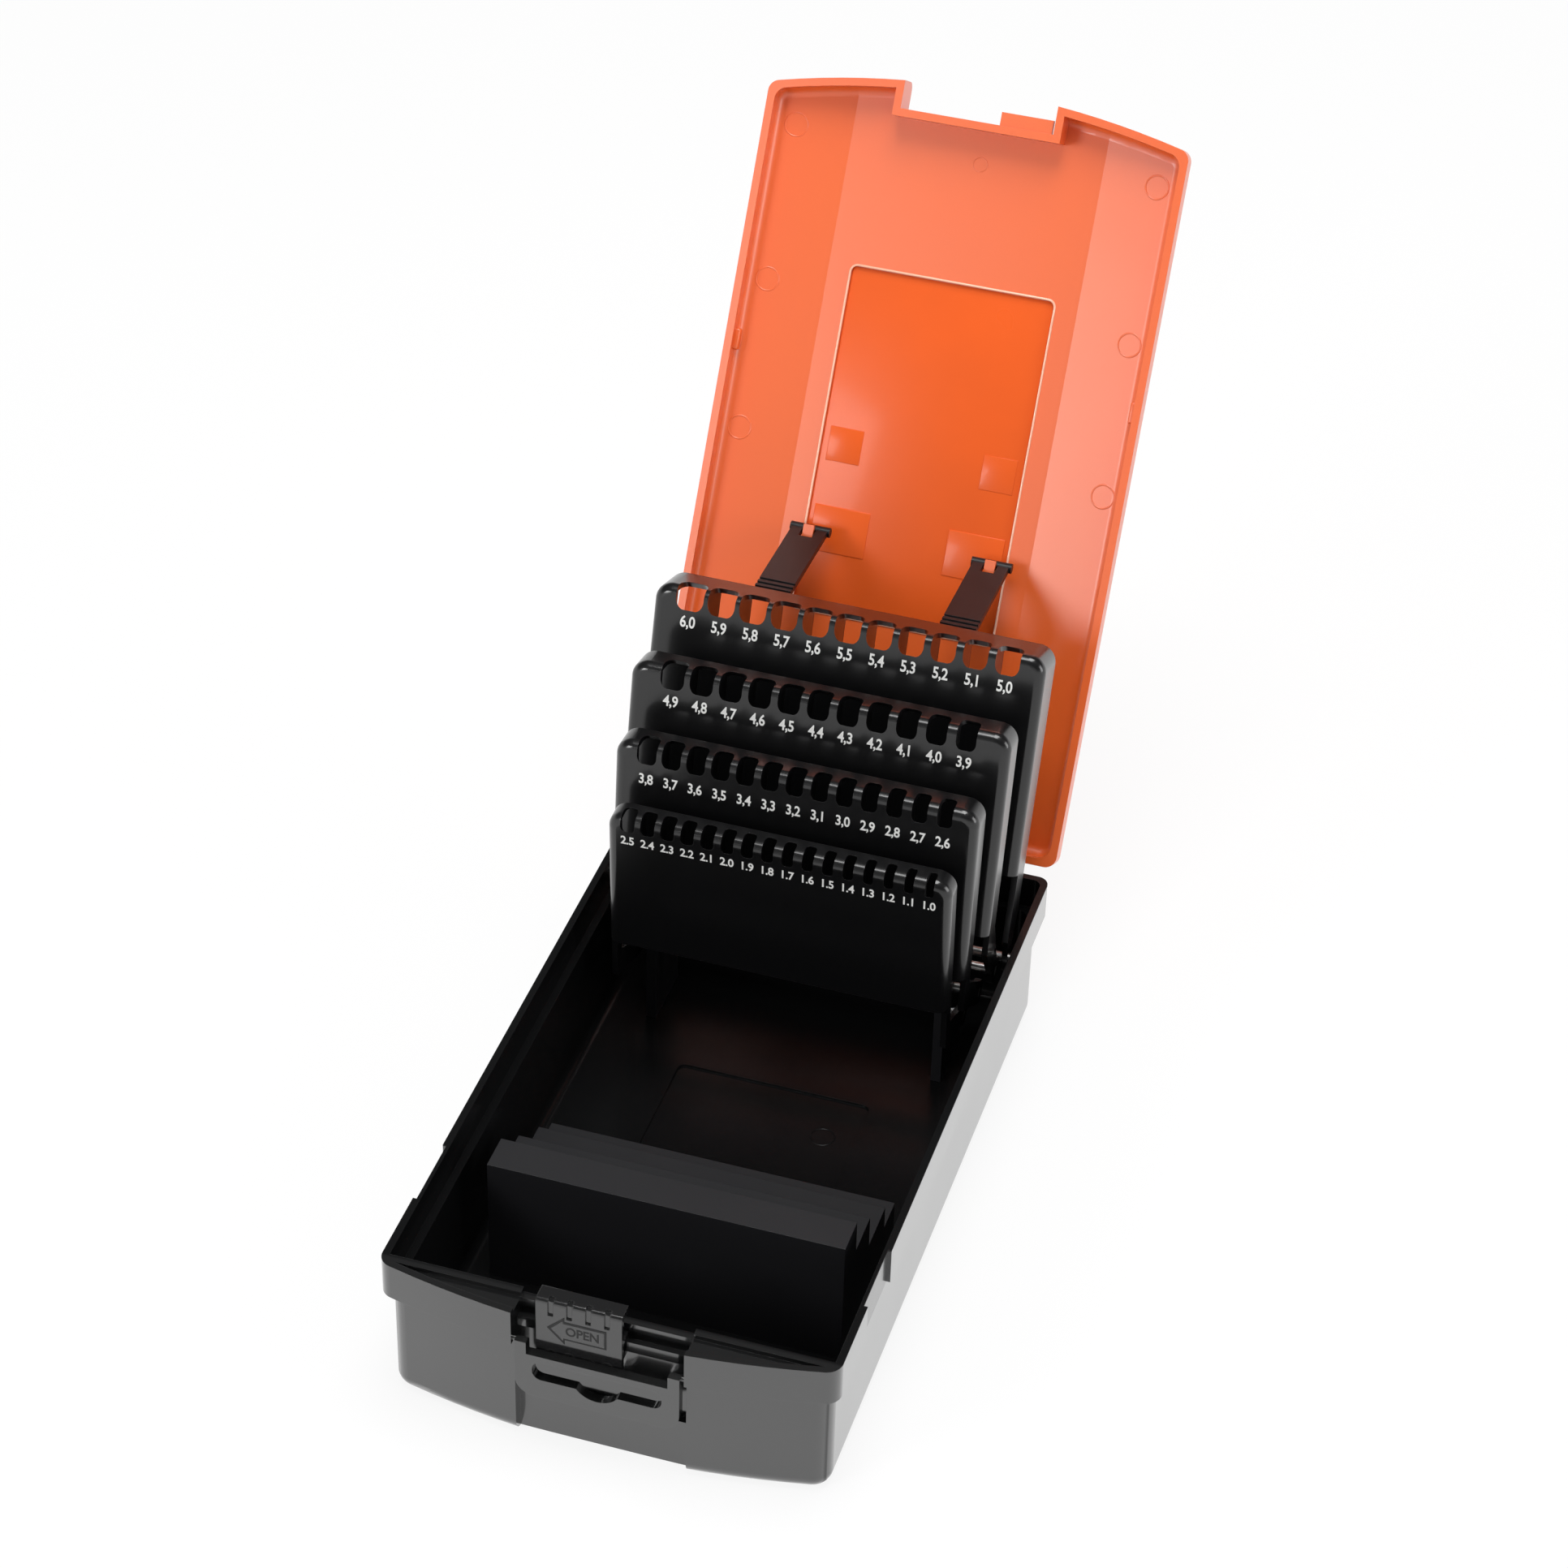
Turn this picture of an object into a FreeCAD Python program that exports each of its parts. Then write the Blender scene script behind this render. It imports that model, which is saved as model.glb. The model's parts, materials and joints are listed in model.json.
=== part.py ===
import FreeCAD, Part
import Sketcher
import math
import os
import re

# Drill bit case, shown open: a tub, a lid on a rear hinge and four folding rows of bits.
# X runs across the case, Y from the front rim corners to the hinge, Z up from the underside.
# All lengths are in millimetres and all angles in degrees.

SIZES = {
    # The case as a whole.
    "case_width": 110.0,
    "case_length": 183.6,
    "rim_height": 41.0,
    "front_bow": 6.8,
    "wall": 1.8,
    "floor_thickness": 2.0,
    "cut_overrun": 6.0,
    "pin_fit": 0.05,
    "seat_gap": 0.3,
    # The tub: a thin band round the rim overhangs the lower wall.
    "band_height": 10.0,
    "band_overhang": 2.0,
    "ledge_drop": 9.0,
    "front_corner_round": 4.0,
    "rear_corner_round": 3.0,
    "bottom_round": 5.0,
    "front_wall_face": 1.0,
    "front_wall": 2.0,
    "shelf_drop": 1.2,
    "floor_recess_half_width": 25.3,
    "floor_recess_front": 94.0,
    "floor_recess_length": 34.0,
    "floor_recess_depth": 0.6,
    "finger_notch_front": 22.0,
    "finger_notch_length": 19.0,
    "finger_notch_depth": 0.9,
    # The recess in the front, with the slider's rail and the handle's pocket.
    "recess_half_width": 20.6,
    "recess_setback": 4.05,
    "pocket_floor": 14.0,
    "rail_drop": 1.5,
    "rail_below_rim": 6.5,
    "rail_neck_height": 1.2,
    "rail_neck_depth": 1.2,
    "rail_head_height": 3.0,
    "rail_head_depth": 1.1,
    # The stepped stop for the bit tips, a moulding that stands on the floor.
    "stop_side_inset": 11.0,
    "stop_front": 41.0,
    "tread_1_run": 9.5,
    "tread_2_run": 11.5,
    "tread_3_run": 13.6,
    "tread_4_run": 9.0,
    "tread_1_drop": 3.0,
    "tread_2_drop": 12.0,
    "tread_3_drop": 21.0,
    "tread_4_drop": 27.5,
    # The hinge at the rear rim.
    "hinge_setback": 2.0,
    "hinge_drop": 1.1,
    "hinge_barrel_radius": 2.2,
    "hinge_pin_radius": 1.0,
    "hinge_side_inset": 9.4,
    "knuckle_width": 7.0,
    "knuckle_gap": 0.3,
    # The lid, drawn closed and then swung open.
    "lid_open_angle": 121.25,
    "lid_gap": 0.3,
    "lid_wall": 2.0,
    "lid_side_height": 7.5,
    "lid_middle_height": 9.5,
    "lid_side_run": 22.0,
    "lid_edge_round": 2.6,
    "lid_inner_round": 2.4,
    "lid_notch_gap": 0.6,
    "lid_notch_face": 1.2,
    "field_crease_margin": 6.0,
    "field_front": 42.1,
    "field_length": 89.5,
    "field_depth": 0.8,
    "tab_side_gap": 0.5,
    "tab_width": 13.5,
    "tab_reach": 3.4,
    "tab_bottom_rise": 0.6,
    "tab_thickness": 1.7,
    # The slider that locks the tab.
    "slider_tab_gap": 0.8,
    "slider_width": 20.6,
    "slider_skirt": 5.7,
    "slider_top_wall": 1.7,
    "slider_plate": 1.2,
    "slider_play": 0.25,
    "slider_round": 1.1,
    "claw_thickness": 1.2,
    "grip_groove_width": 1.3,
    "grip_groove_depth": 0.45,
    "grip_groove_pitch": 4.5,
    # The carrying handle that hangs in the recess.
    "handle_side_gap": 0.9,
    "handle_arm_width": 2.8,
    "handle_thickness": 2.4,
    "handle_corner_round": 4.6,
    "handle_slot_round": 2.2,
    "handle_axis_drop": 2.2,
    "handle_axis_inset": 0.8,
    "handle_pin_radius": 0.6,
    "handle_pin_reach": 2.4,
    "handle_arm_length": 2.7,
    "handle_cross_height": 1.9,
    "handle_slot_height": 5.4,
    "handle_slot_inset": 4.2,
    "handle_bar_height": 5.6,
    "handle_bulge_radius": 6.0,
    "handle_bulge_drop": 2.6,
    # The axles, one for each row, and the two plates that carry three of them.
    "axle_radius": 1.25,
    "axle_recess_radius": 2.8,
    "axle_recess_depth": 0.7,
    "axle_1_from_rear": 20.1,
    "axle_2_ahead": 7.0,
    "axle_3_ahead": 6.1,
    "axle_4_ahead": 4.2,
    "axle_1_drop": 11.5,
    "axle_2_drop": 10.5,
    "axle_3_drop": 13.4,
    "axle_4_drop": 18.0,
    "bearing_side_gap": 2.7,
    "bearing_thickness": 2.6,
    "bearing_margin": 3.6,
    # What the four rows share.
    "row_wall": 1.6,
    "row_side_wall": 1.5,
    "row_lug_radius": 3.4,
    "row_arm_width": 6.0,
    "row_edge_round": 2.4,
    "row_corner_round": 4.4,
    "row_shelf": 5.0,
    "row_socket_floor": 1.5,
    "row_rib": 1.0,
    "row_rib_length": 12.0,
    "bit_thinning": 0.1,
    "bit_fit": 0.3,
    "window_margin": 1.2,
    "window_slant": 45.0,
    "window_round_share": 0.3,
    # Row 1, the rearmost and tallest: bits of 6.0 down to 5.0.
    "row_1_side_inset": 4.6,
    "row_1_reach": 82.3,
    "row_1_back": 1.45,
    "row_1_depth": 13.2,
    "row_1_taper": 3.4,
    "row_1_plate": 58.0,
    "row_1_bend_height": 12.0,
    "row_1_lean": 20.0,
    "row_1_end_margin": 9.4,
    "row_1_window_gap": 1.0,
    "row_1_largest": 6.0,
    "row_1_window": 7.8,
    # Row 2: bits of 4.9 down to 3.9.
    "row_2_side_inset": 6.5,
    "row_2_reach": 71.2,
    "row_2_back": -7.5,
    "row_2_depth": 8.8,
    "row_2_taper": 1.1,
    "row_2_plate": 55.0,
    "row_2_bend_height": 16.2,
    "row_2_lean": 13.0,
    "row_2_end_margin": 11.0,
    "row_2_window_gap": 1.4,
    "row_2_largest": 4.9,
    "row_2_window": 7.8,
    # Row 3: bits of 3.8 down to 2.6.
    "row_3_side_inset": 8.9,
    "row_3_reach": 63.6,
    "row_3_back": -12.2,
    "row_3_depth": 7.9,
    "row_3_taper": 1.4,
    "row_3_plate": 49.0,
    "row_3_bend_height": 10.6,
    "row_3_lean": 6.7,
    "row_3_end_margin": 8.3,
    "row_3_window_gap": 1.3,
    "row_3_largest": 3.8,
    "row_3_window": 7.2,
    # Row 4, the front and shortest: bits of 2.5 down to 1.0.
    "row_4_side_inset": 11.4,
    "row_4_reach": 58.1,
    "row_4_back": -14.2,
    "row_4_depth": 6.0,
    "row_4_taper": 0.2,
    "row_4_plate": 41.0,
    "row_4_bend_height": 9.9,
    "row_4_lean": -1.5,
    "row_4_end_margin": 5.35,
    "row_4_window_gap": 1.4,
    "row_4_largest": 2.5,
    "row_4_window": 6.0,
    # The two straps that pull row 1 up with the lid.
    "strap_crease_gap": 13.5,
    "strap_width": 9.4,
    "strap_thickness": 1.6,
    "strap_bar_radius": 1.3,
    "strap_bar_extra": 0.6,
    "strap_slot_margin": 0.4,
    "strap_slot_length": 3.9,
    "strap_band": 1.0,
    "strap_band_depth": 0.5,
    "strap_end_drop": 1.6,
    "strap_end_gap": 0.8,
    "hook_width": 2.8,
    "hook_thickness": 1.2,
    "hook_from_rear": 73.0,
    "hook_rise": 2.6,
}

# How many bits stand in each row, and how many of each repeated feature there are.
BITS = {1: 11, 2: 11, 3: 13, 4: 16}
TREADS = 4
GRIP_GROOVES = 4
STRAP_BANDS = 3
SIDES = ("left", "right")

doc = FreeCAD.newDocument("drill_bit_case")
sheet = doc.addObject("Spreadsheet::Sheet", "sizes")
for line, (alias, value) in enumerate(SIZES.items(), start=1):
    sheet.set(f"A{line}", alias)
    sheet.set(f"B{line}", str(value))
    sheet.setAlias(f"B{line}", alias)
doc.recompute()


def bind(item, path, formula):
    """Tie one property of an object to a formula of named sizes."""
    def to_cell(match):
        word = match.group()
        return "sizes." + word if word in SIZES else word
    item.setExpression(path, re.sub(r"[a-z][a-z0-9_]*", to_cell, formula))


def block(name, across, along, up):
    """A box between three pairs of formulas."""
    box = doc.addObject("Part::Box", name)
    spans = (("Length", "x", across), ("Width", "y", along), ("Height", "z", up))
    for extent, axis, (start, end) in spans:
        bind(box, extent, f"({end}) - ({start})")
        bind(box, f"Placement.Base.{axis}", start)
    return box


def rod(name, across, along, up, radius):
    """A round bar that lies along X."""
    bar = doc.addObject("Part::Cylinder", name)
    bar.Placement.Rotation = FreeCAD.Rotation(FreeCAD.Vector(0, 1, 0), 90)
    start, end = across
    bind(bar, "Height", f"({end}) - ({start})")
    bind(bar, "Radius", radius)
    bind(bar, "Placement.Base.x", start)
    bind(bar, "Placement.Base.y", along)
    bind(bar, "Placement.Base.z", up)
    return bar


def post(name, across, along, up, radius):
    """A round bar that stands along Z."""
    bar = doc.addObject("Part::Cylinder", name)
    start, end = up
    bind(bar, "Height", f"({end}) - ({start})")
    bind(bar, "Radius", radius)
    bind(bar, "Placement.Base.x", across)
    bind(bar, "Placement.Base.y", along)
    bind(bar, "Placement.Base.z", start)
    return bar


def fuse(name, *items):
    joined = doc.addObject("Part::MultiFuse", name)
    joined.Shapes = list(items)
    joined.Refine = True
    return joined


def overlap(name, *items):
    shared = doc.addObject("Part::MultiCommon", name)
    shared.Shapes = list(items)
    return shared


def cut(name, base, *tools):
    """Take one or more solids away from a base."""
    tool = tools[0] if len(tools) == 1 else fuse(name + "_tools", *tools)
    rest = doc.addObject("Part::Cut", name)
    rest.Base = base
    rest.Tool = tool
    rest.Refine = True
    return rest


def profile(name, corners, plane="side"):
    """A closed outline, each corner set by two formulas.

    On the side plane a corner is (along Y, up Z), on the end plane (across X, up Z).
    """
    outline = doc.addObject("Sketcher::SketchObject", name)
    if plane == "side":
        outline.Placement.Rotation = FreeCAD.Rotation(FreeCAD.Vector(1, 1, 1), 120)
    else:
        outline.Placement.Rotation = FreeCAD.Rotation(FreeCAD.Vector(1, 0, 0), 90)
    count = len(corners)
    turn = 2 * math.pi / count
    starts = [FreeCAD.Vector(math.cos(turn * n), math.sin(turn * n), 0) for n in range(count)]
    for n in range(count):
        outline.addGeometry(Part.LineSegment(starts[n], starts[(n + 1) % count]), False)
    for n in range(count):
        outline.addConstraint(Sketcher.Constraint("Coincident", n, 2, (n + 1) % count, 1))
    for n, (first, second) in enumerate(corners):
        for kind, value, formula in (("DistanceX", starts[n].x, first), ("DistanceY", starts[n].y, second)):
            index = outline.addConstraint(Sketcher.Constraint(kind, -1, 1, n, 1, value))
            bind(outline, f"Constraints[{index}]", formula)
    return outline


def extrude(name, outline, start, end, axis="x"):
    """Push a profile from one formula to another along X or along Y."""
    solid = doc.addObject("Part::Extrusion", name)
    solid.Base = outline
    solid.DirMode = "Custom"
    solid.Dir = FreeCAD.Vector(1, 0, 0) if axis == "x" else FreeCAD.Vector(0, 1, 0)
    solid.Solid = True
    bind(outline, f"Placement.Base.{axis}", start)
    bind(solid, "LengthFwd", f"({end}) - ({start})")
    return solid


def soften(name, base, radius, wanted):
    """Round the edges of a solid that the test picks."""
    doc.recompute()
    rounded = doc.addObject("Part::Fillet", name)
    rounded.Base = base
    picked = [n for n, edge in enumerate(base.Shape.Edges, start=1) if wanted(edge)]
    rounded.Edges = [(n, radius, radius) for n in picked]
    return rounded


def size(alias):
    return float(sheet.get(alias))


def near(first, second):
    """Two lengths are the same to a small part of the wall."""
    return abs(first - second) < size("wall") / 100


def is_upright(edge):
    box = edge.BoundBox
    return near(box.XMin, box.XMax) and near(box.YMin, box.YMax)


def is_along(edge):
    box = edge.BoundBox
    return near(box.XMin, box.XMax) and near(box.ZMin, box.ZMax)


def is_across(edge):
    box = edge.BoundBox
    return near(box.YMin, box.YMax) and near(box.ZMin, box.ZMax)


def span(side, inner, outer):
    """The X span of a piece on one side, given from the middle outward."""
    return (inner, outer) if side == "right" else (f"-({outer})", f"-({inner})")


def turn_about_x(item, angle, along="0", up="0"):
    """Turn a finished piece about X and set its origin down at a point."""
    item.Placement.Rotation = FreeCAD.Rotation(FreeCAD.Vector(1, 0, 0), 1)
    bind(item, "Placement.Rotation.Angle", angle)
    bind(item, "Placement.Base.y", along)
    bind(item, "Placement.Base.z", up)


# Formulas that several pieces read.
half_width = "case_width / 2"
lower_half_width = "case_width / 2 - band_overhang"
inner_half_width = "case_width / 2 - band_overhang - wall"
band_bottom = "rim_height - band_height"
bow_radius = "(pow(case_width / 2; 2) + pow(front_bow; 2)) / (2 * front_bow)"
bow_centre = f"{bow_radius} - front_bow"
slider_face = "lid_notch_face - tab_reach - slider_play - slider_plate"
handle_axis_along = f"{slider_face} - slider_play - handle_axis_inset"
hinge_along = "case_length + hinge_setback"
hinge_height = "rim_height - hinge_drop"
hinge_inner = "case_width / 2 - hinge_side_inset - 3 * knuckle_width - 2 * knuckle_gap"
crease = "case_width / 2 - lid_side_run"
rail_height = "rim_height - rail_below_rim"
notch_half_width = "recess_half_width - lid_notch_gap"
handle_half_width = "recess_half_width - handle_side_gap"
handle_axis_height = f"({rail_height} - handle_axis_drop)"
axle_along = {1: "case_length - axle_1_from_rear"}
for row in (2, 3, 4):
    axle_along[row] = f"{axle_along[row - 1]} - axle_{row}_ahead"
axle_height = {row: f"rim_height - axle_{row}_drop" for row in BITS}
row_half_width = {row: f"case_width / 2 - row_{row}_side_inset" for row in BITS}
front_inner_face = "front_wall_face + front_wall"
pieces = {}


def keep(name, item):
    item.Label = name
    pieces[name] = item


def bowed(name, inset, rear, up):
    """A slab of the case's plan outline, drawn in by an inset, with its bowed front."""
    slab = block(name + "_slab", (f"-({half_width}) + ({inset})", f"{half_width} - ({inset})"),
                 ("-front_bow", rear), up)
    bow = post(name + "_bow", "0", bow_centre, up, f"{bow_radius} - ({inset})")
    return overlap(name, slab, bow)


# Base tub. The band and the lower wall share one bowed outline.
band = bowed("band", "0", "case_length", (band_bottom, "rim_height"))
band = soften("band_front_corners", band, size("front_corner_round"),
              lambda edge: is_upright(edge) and edge.CenterOfMass.y < size("wall"))
band = soften("band_rear_corners", band, size("rear_corner_round"),
              lambda edge: is_upright(edge) and edge.CenterOfMass.y > size("case_length") - size("wall"))
lower = bowed("lower_shell", "band_overhang", "case_length - band_overhang", ("0", band_bottom))
lower = soften("lower_corners", lower, size("bottom_round"), is_upright)
lower = soften("lower_bottom", lower, size("bottom_round") - size("wall") / 2,
               lambda edge: edge.BoundBox.ZMax < size("wall") / 2)
shell = fuse("tub_outside", band, lower)
tub_hollow = block("tub_hollow", (f"-({inner_half_width})", inner_half_width),
                   (front_inner_face, "case_length - band_overhang - wall"),
                   ("floor_thickness", "rim_height - ledge_drop"))
tub_hollow = soften("tub_hollow_corners", tub_hollow, size("bottom_round") - size("wall"), is_upright)
tub_hollow = soften("tub_hollow_floor", tub_hollow, size("bottom_round") / 2,
                    lambda edge: edge.BoundBox.ZMax < size("floor_thickness") + size("wall") / 2)
rim_hollow = block("rim_hollow", (f"-({half_width} - wall)", f"{half_width} - wall"),
                   (front_inner_face, "case_length - wall"),
                   ("rim_height - ledge_drop", "rim_height + cut_overrun"))
rim_hollow = soften("rim_hollow_corners", rim_hollow, size("rear_corner_round") - size("wall") / 2,
                    lambda edge: is_upright(edge) and edge.CenterOfMass.y > size("case_length") / 2)
shelf_slab = block("shelf_slab", (f"-({half_width} - 2 * wall)", f"{half_width} - 2 * wall"),
                   ("-front_bow", "front_wall_face"),
                   ("rim_height - shelf_drop", "rim_height + cut_overrun"))
shelf_bow = post("shelf_bow", "0", bow_centre,
                 ("rim_height - shelf_drop", "rim_height + cut_overrun"), f"{bow_radius} - wall")
shelf = overlap("shelf", shelf_slab, shelf_bow)
recess_span = ("-recess_half_width", "recess_half_width")
lower_bow_face = "-(front_bow - band_overhang - recess_setback)"
recess_pocket = block("recess_pocket", recess_span, ("-front_bow - cut_overrun", "front_wall_face"),
                      ("pocket_floor", "rim_height + cut_overrun"))
recess_face = block("recess_face", recess_span, ("-front_bow - cut_overrun", lower_bow_face),
                    ("-cut_overrun", "pocket_floor"))
rail_top_cut = block("rail_top_cut", recess_span, ("front_wall_face", front_inner_face),
                     ("rim_height - rail_drop", "rim_height + cut_overrun"))
floor_recess = block("floor_recess", ("-floor_recess_half_width", "floor_recess_half_width"),
                     ("floor_recess_front", "floor_recess_front + floor_recess_length"),
                     ("floor_thickness - floor_recess_depth", "floor_thickness + cut_overrun"))
floor_recess = soften("floor_recess_corners", floor_recess, size("floor_thickness"), is_upright)
tub_cuts = [tub_hollow, rim_hollow, shelf, recess_pocket, recess_face, rail_top_cut, floor_recess]
for side in SIDES:
    tub_cuts.append(block(f"finger_notch_{side}",
                          span(side, f"{half_width} - finger_notch_depth", f"{half_width} + cut_overrun"),
                          ("finger_notch_front", "finger_notch_front + finger_notch_length"),
                          (band_bottom, "rim_height + cut_overrun")))
    tub_cuts.append(rod(f"axle_hole_{side}",
                        span(side, f"{inner_half_width} - wall", f"{half_width} + cut_overrun"),
                        axle_along[1], axle_height[1], "axle_radius + pin_fit"))
    tub_cuts.append(rod(f"axle_recess_{side}",
                        span(side, f"{lower_half_width} - axle_recess_depth", lower_half_width),
                        axle_along[1], axle_height[1], "axle_recess_radius"))
    tub_cuts.append(rod(f"handle_pin_hole_{side}",
                        span(side, "recess_half_width - wall",
                             f"{handle_half_width} + handle_pin_reach + seat_gap"),
                        handle_axis_along, handle_axis_height, "handle_pin_radius + pin_fit"))
tub = cut("tub_hollowed", shell, *tub_cuts)
# The rail for the slider: a neck and a wider head on the front wall.
rail_neck = block("rail_neck", recess_span, ("front_wall_face - rail_neck_depth", "front_wall_face"),
                  (f"{rail_height} - rail_neck_height / 2", f"{rail_height} + rail_neck_height / 2"))
rail_head = block("rail_head", recess_span,
                  ("front_wall_face - rail_neck_depth - rail_head_depth", "front_wall_face - rail_neck_depth"),
                  (f"{rail_height} - rail_head_height / 2", f"{rail_height} + rail_head_height / 2"))
tub_parts = [tub, rail_neck, rail_head]
# Two hinge knuckles on each side, with room between them for the lid's knuckle.
knuckle_starts = (hinge_inner, f"{hinge_inner} + 2 * (knuckle_width + knuckle_gap)")
knuckle_foot = ("case_length - wall", hinge_along)
for side in SIDES:
    for count, start in enumerate(knuckle_starts, start=1):
        width = span(side, start, f"{start} + knuckle_width")
        tub_parts.append(rod(f"tub_barrel_{side}_{count}", width, hinge_along, hinge_height,
                             "hinge_barrel_radius"))
        tub_parts.append(block(f"tub_knuckle_{side}_{count}", width, knuckle_foot,
                               (f"{hinge_height} - hinge_barrel_radius", hinge_height)))
tub = fuse("tub_joined", *tub_parts)
lid_knuckle_start = f"{hinge_inner} + knuckle_width + knuckle_gap"
hinge_end = "case_width / 2 - hinge_side_inset"
hinge_cuts = []
for side in SIDES:
    hinge_cuts.append(rod(f"tub_barrel_room_{side}",
                          span(side, f"{hinge_inner} + knuckle_width",
                               f"{hinge_inner} + 2 * (knuckle_width + knuckle_gap)"),
                          hinge_along, hinge_height, "hinge_barrel_radius + seat_gap"))
    hinge_cuts.append(rod(f"tub_pin_hole_{side}", span(side, f"{hinge_inner} - wall", f"{hinge_end} + wall"),
                          hinge_along, hinge_height, "hinge_pin_radius + pin_fit"))
keep("base_tub", cut("base_tub", tub, *hinge_cuts))

# Stepped stop: four treads that fall towards the rear, hollow from below.
outer_steps = [("stop_front", "floor_thickness")]
inner_steps = [("stop_front + wall", "floor_thickness")]
edge_along = "stop_front"
inner_along = "stop_front + wall"
for n in range(1, TREADS + 1):
    top = f"rim_height - tread_{n}_drop"
    outer_steps.append((edge_along, top))
    inner_steps.append((inner_along, f"{top} - wall"))
    edge_along = f"{edge_along} + tread_{n}_run"
    inner_along = f"{edge_along} - wall"
    outer_steps.append((edge_along, top))
    inner_steps.append((inner_along, f"{top} - wall"))
outer_steps.append((edge_along, "floor_thickness"))
inner_steps.append((inner_along, "floor_thickness"))
stop_half_width = f"{half_width} - stop_side_inset"
stop_outside = extrude("stop_outside", profile("stop_outline", outer_steps),
                       f"-({stop_half_width})", stop_half_width)
stop_inside = extrude("stop_inside", profile("stop_hollow", inner_steps),
                      f"-({stop_half_width} - wall)", f"{stop_half_width} - wall")
keep("drill_stop", cut("drill_stop", stop_outside, stop_inside))

# Lid. It is drawn closed, measured from the hinge axis, and then swung open.
rim_from_hinge = "hinge_drop + lid_gap"
plan_from_hinge = f"-({hinge_along})"


def lid_section(name, inset, drop):
    """The lid's end outline: a flat middle between two creases and sloping sides."""
    side_x = f"{half_width} - ({inset})"
    return profile(name, [
        (f"-({side_x})", f"{rim_from_hinge} - ({drop})"),
        (side_x, f"{rim_from_hinge} - ({drop})"),
        (side_x, f"hinge_drop + lid_side_height - ({inset})"),
        (crease, f"hinge_drop + lid_middle_height - ({inset})"),
        (f"-({crease})", f"hinge_drop + lid_middle_height - ({inset})"),
        (f"-({side_x})", f"hinge_drop + lid_side_height - ({inset})"),
    ], plane="end")


def lid_form(name, inset, drop, corner, edge_round):
    """The lid's outer or inner form, with bowed front and rounded edges."""
    bar = extrude(name + "_bar", lid_section(name + "_section", inset, drop),
                  f"{plan_from_hinge} - front_bow", f"-hinge_setback - ({inset})", axis="y")
    bow = post(name + "_bow", "0", f"{plan_from_hinge} + {bow_centre}",
               ("-cut_overrun", "hinge_drop + lid_middle_height + cut_overrun"), f"{bow_radius} - ({inset})")
    form = overlap(name + "_form", bar, bow)
    form = soften(name + "_corners", form, corner, is_upright)
    lowest = size("hinge_drop") + size("lid_side_height") - size("lid_wall") - size("wall")
    return soften(name + "_edges", form, edge_round,
                  lambda edge: edge.BoundBox.ZMin > lowest and not is_crease(edge))


def is_crease(edge):
    """The long creases run from front to rear inside the roof's outline."""
    box = edge.BoundBox
    return near(box.XMin, box.XMax) and near(abs(box.XMin), size("case_width") / 2 - size("lid_side_run"))


lid_outside = lid_form("lid_outside", "0", "0", size("rear_corner_round"), size("lid_edge_round"))
lid_inside = lid_form("lid_inside", "lid_wall", "cut_overrun",
                      size("lid_inner_round") + size("lid_wall") / 2, size("lid_inner_round"))
notch_back = f"{plan_from_hinge} + lid_notch_face"
notch_block = block("lid_notch_block",
                    (f"-({notch_half_width}) - lid_wall", f"{notch_half_width} + lid_wall"),
                    (f"{plan_from_hinge} - front_bow - cut_overrun", f"{notch_back} + lid_wall"),
                    ("-cut_overrun - wall", "hinge_drop + lid_middle_height + cut_overrun"))
lid_hollow = cut("lid_hollow", lid_inside, notch_block)
lid_notch = block("lid_notch", (f"-({notch_half_width})", notch_half_width),
                  (f"{plan_from_hinge} - front_bow - cut_overrun", notch_back),
                  ("-cut_overrun", "hinge_drop + lid_middle_height + cut_overrun"))
roof_inside = "hinge_drop + lid_middle_height - lid_wall"
field_half_width = f"({crease} - field_crease_margin)"
lid_field = block("lid_field", (f"-{field_half_width}", field_half_width),
                  (f"{plan_from_hinge} + field_front", f"{plan_from_hinge} + field_front + field_length"),
                  (f"{roof_inside} - wall", f"{roof_inside} + field_depth"))
lid_field = soften("lid_field_corners", lid_field, size("wall"), is_upright)
lid_parts = [cut("lid_shell", lid_outside, lid_hollow, lid_notch, lid_field)]
# The tab that the slider grips reaches forward from the notch's wall.
tab_right = f"{notch_half_width} - tab_side_gap"
tab_left = f"{tab_right} - tab_width"
tab_bottom = "hinge_drop + tab_bottom_rise"
lid_parts.append(block("lid_tab", (tab_left, tab_right),
                       (f"{notch_back} - tab_reach", f"{notch_back} + lid_wall"),
                       (tab_bottom, f"{tab_bottom} + tab_thickness")))
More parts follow.
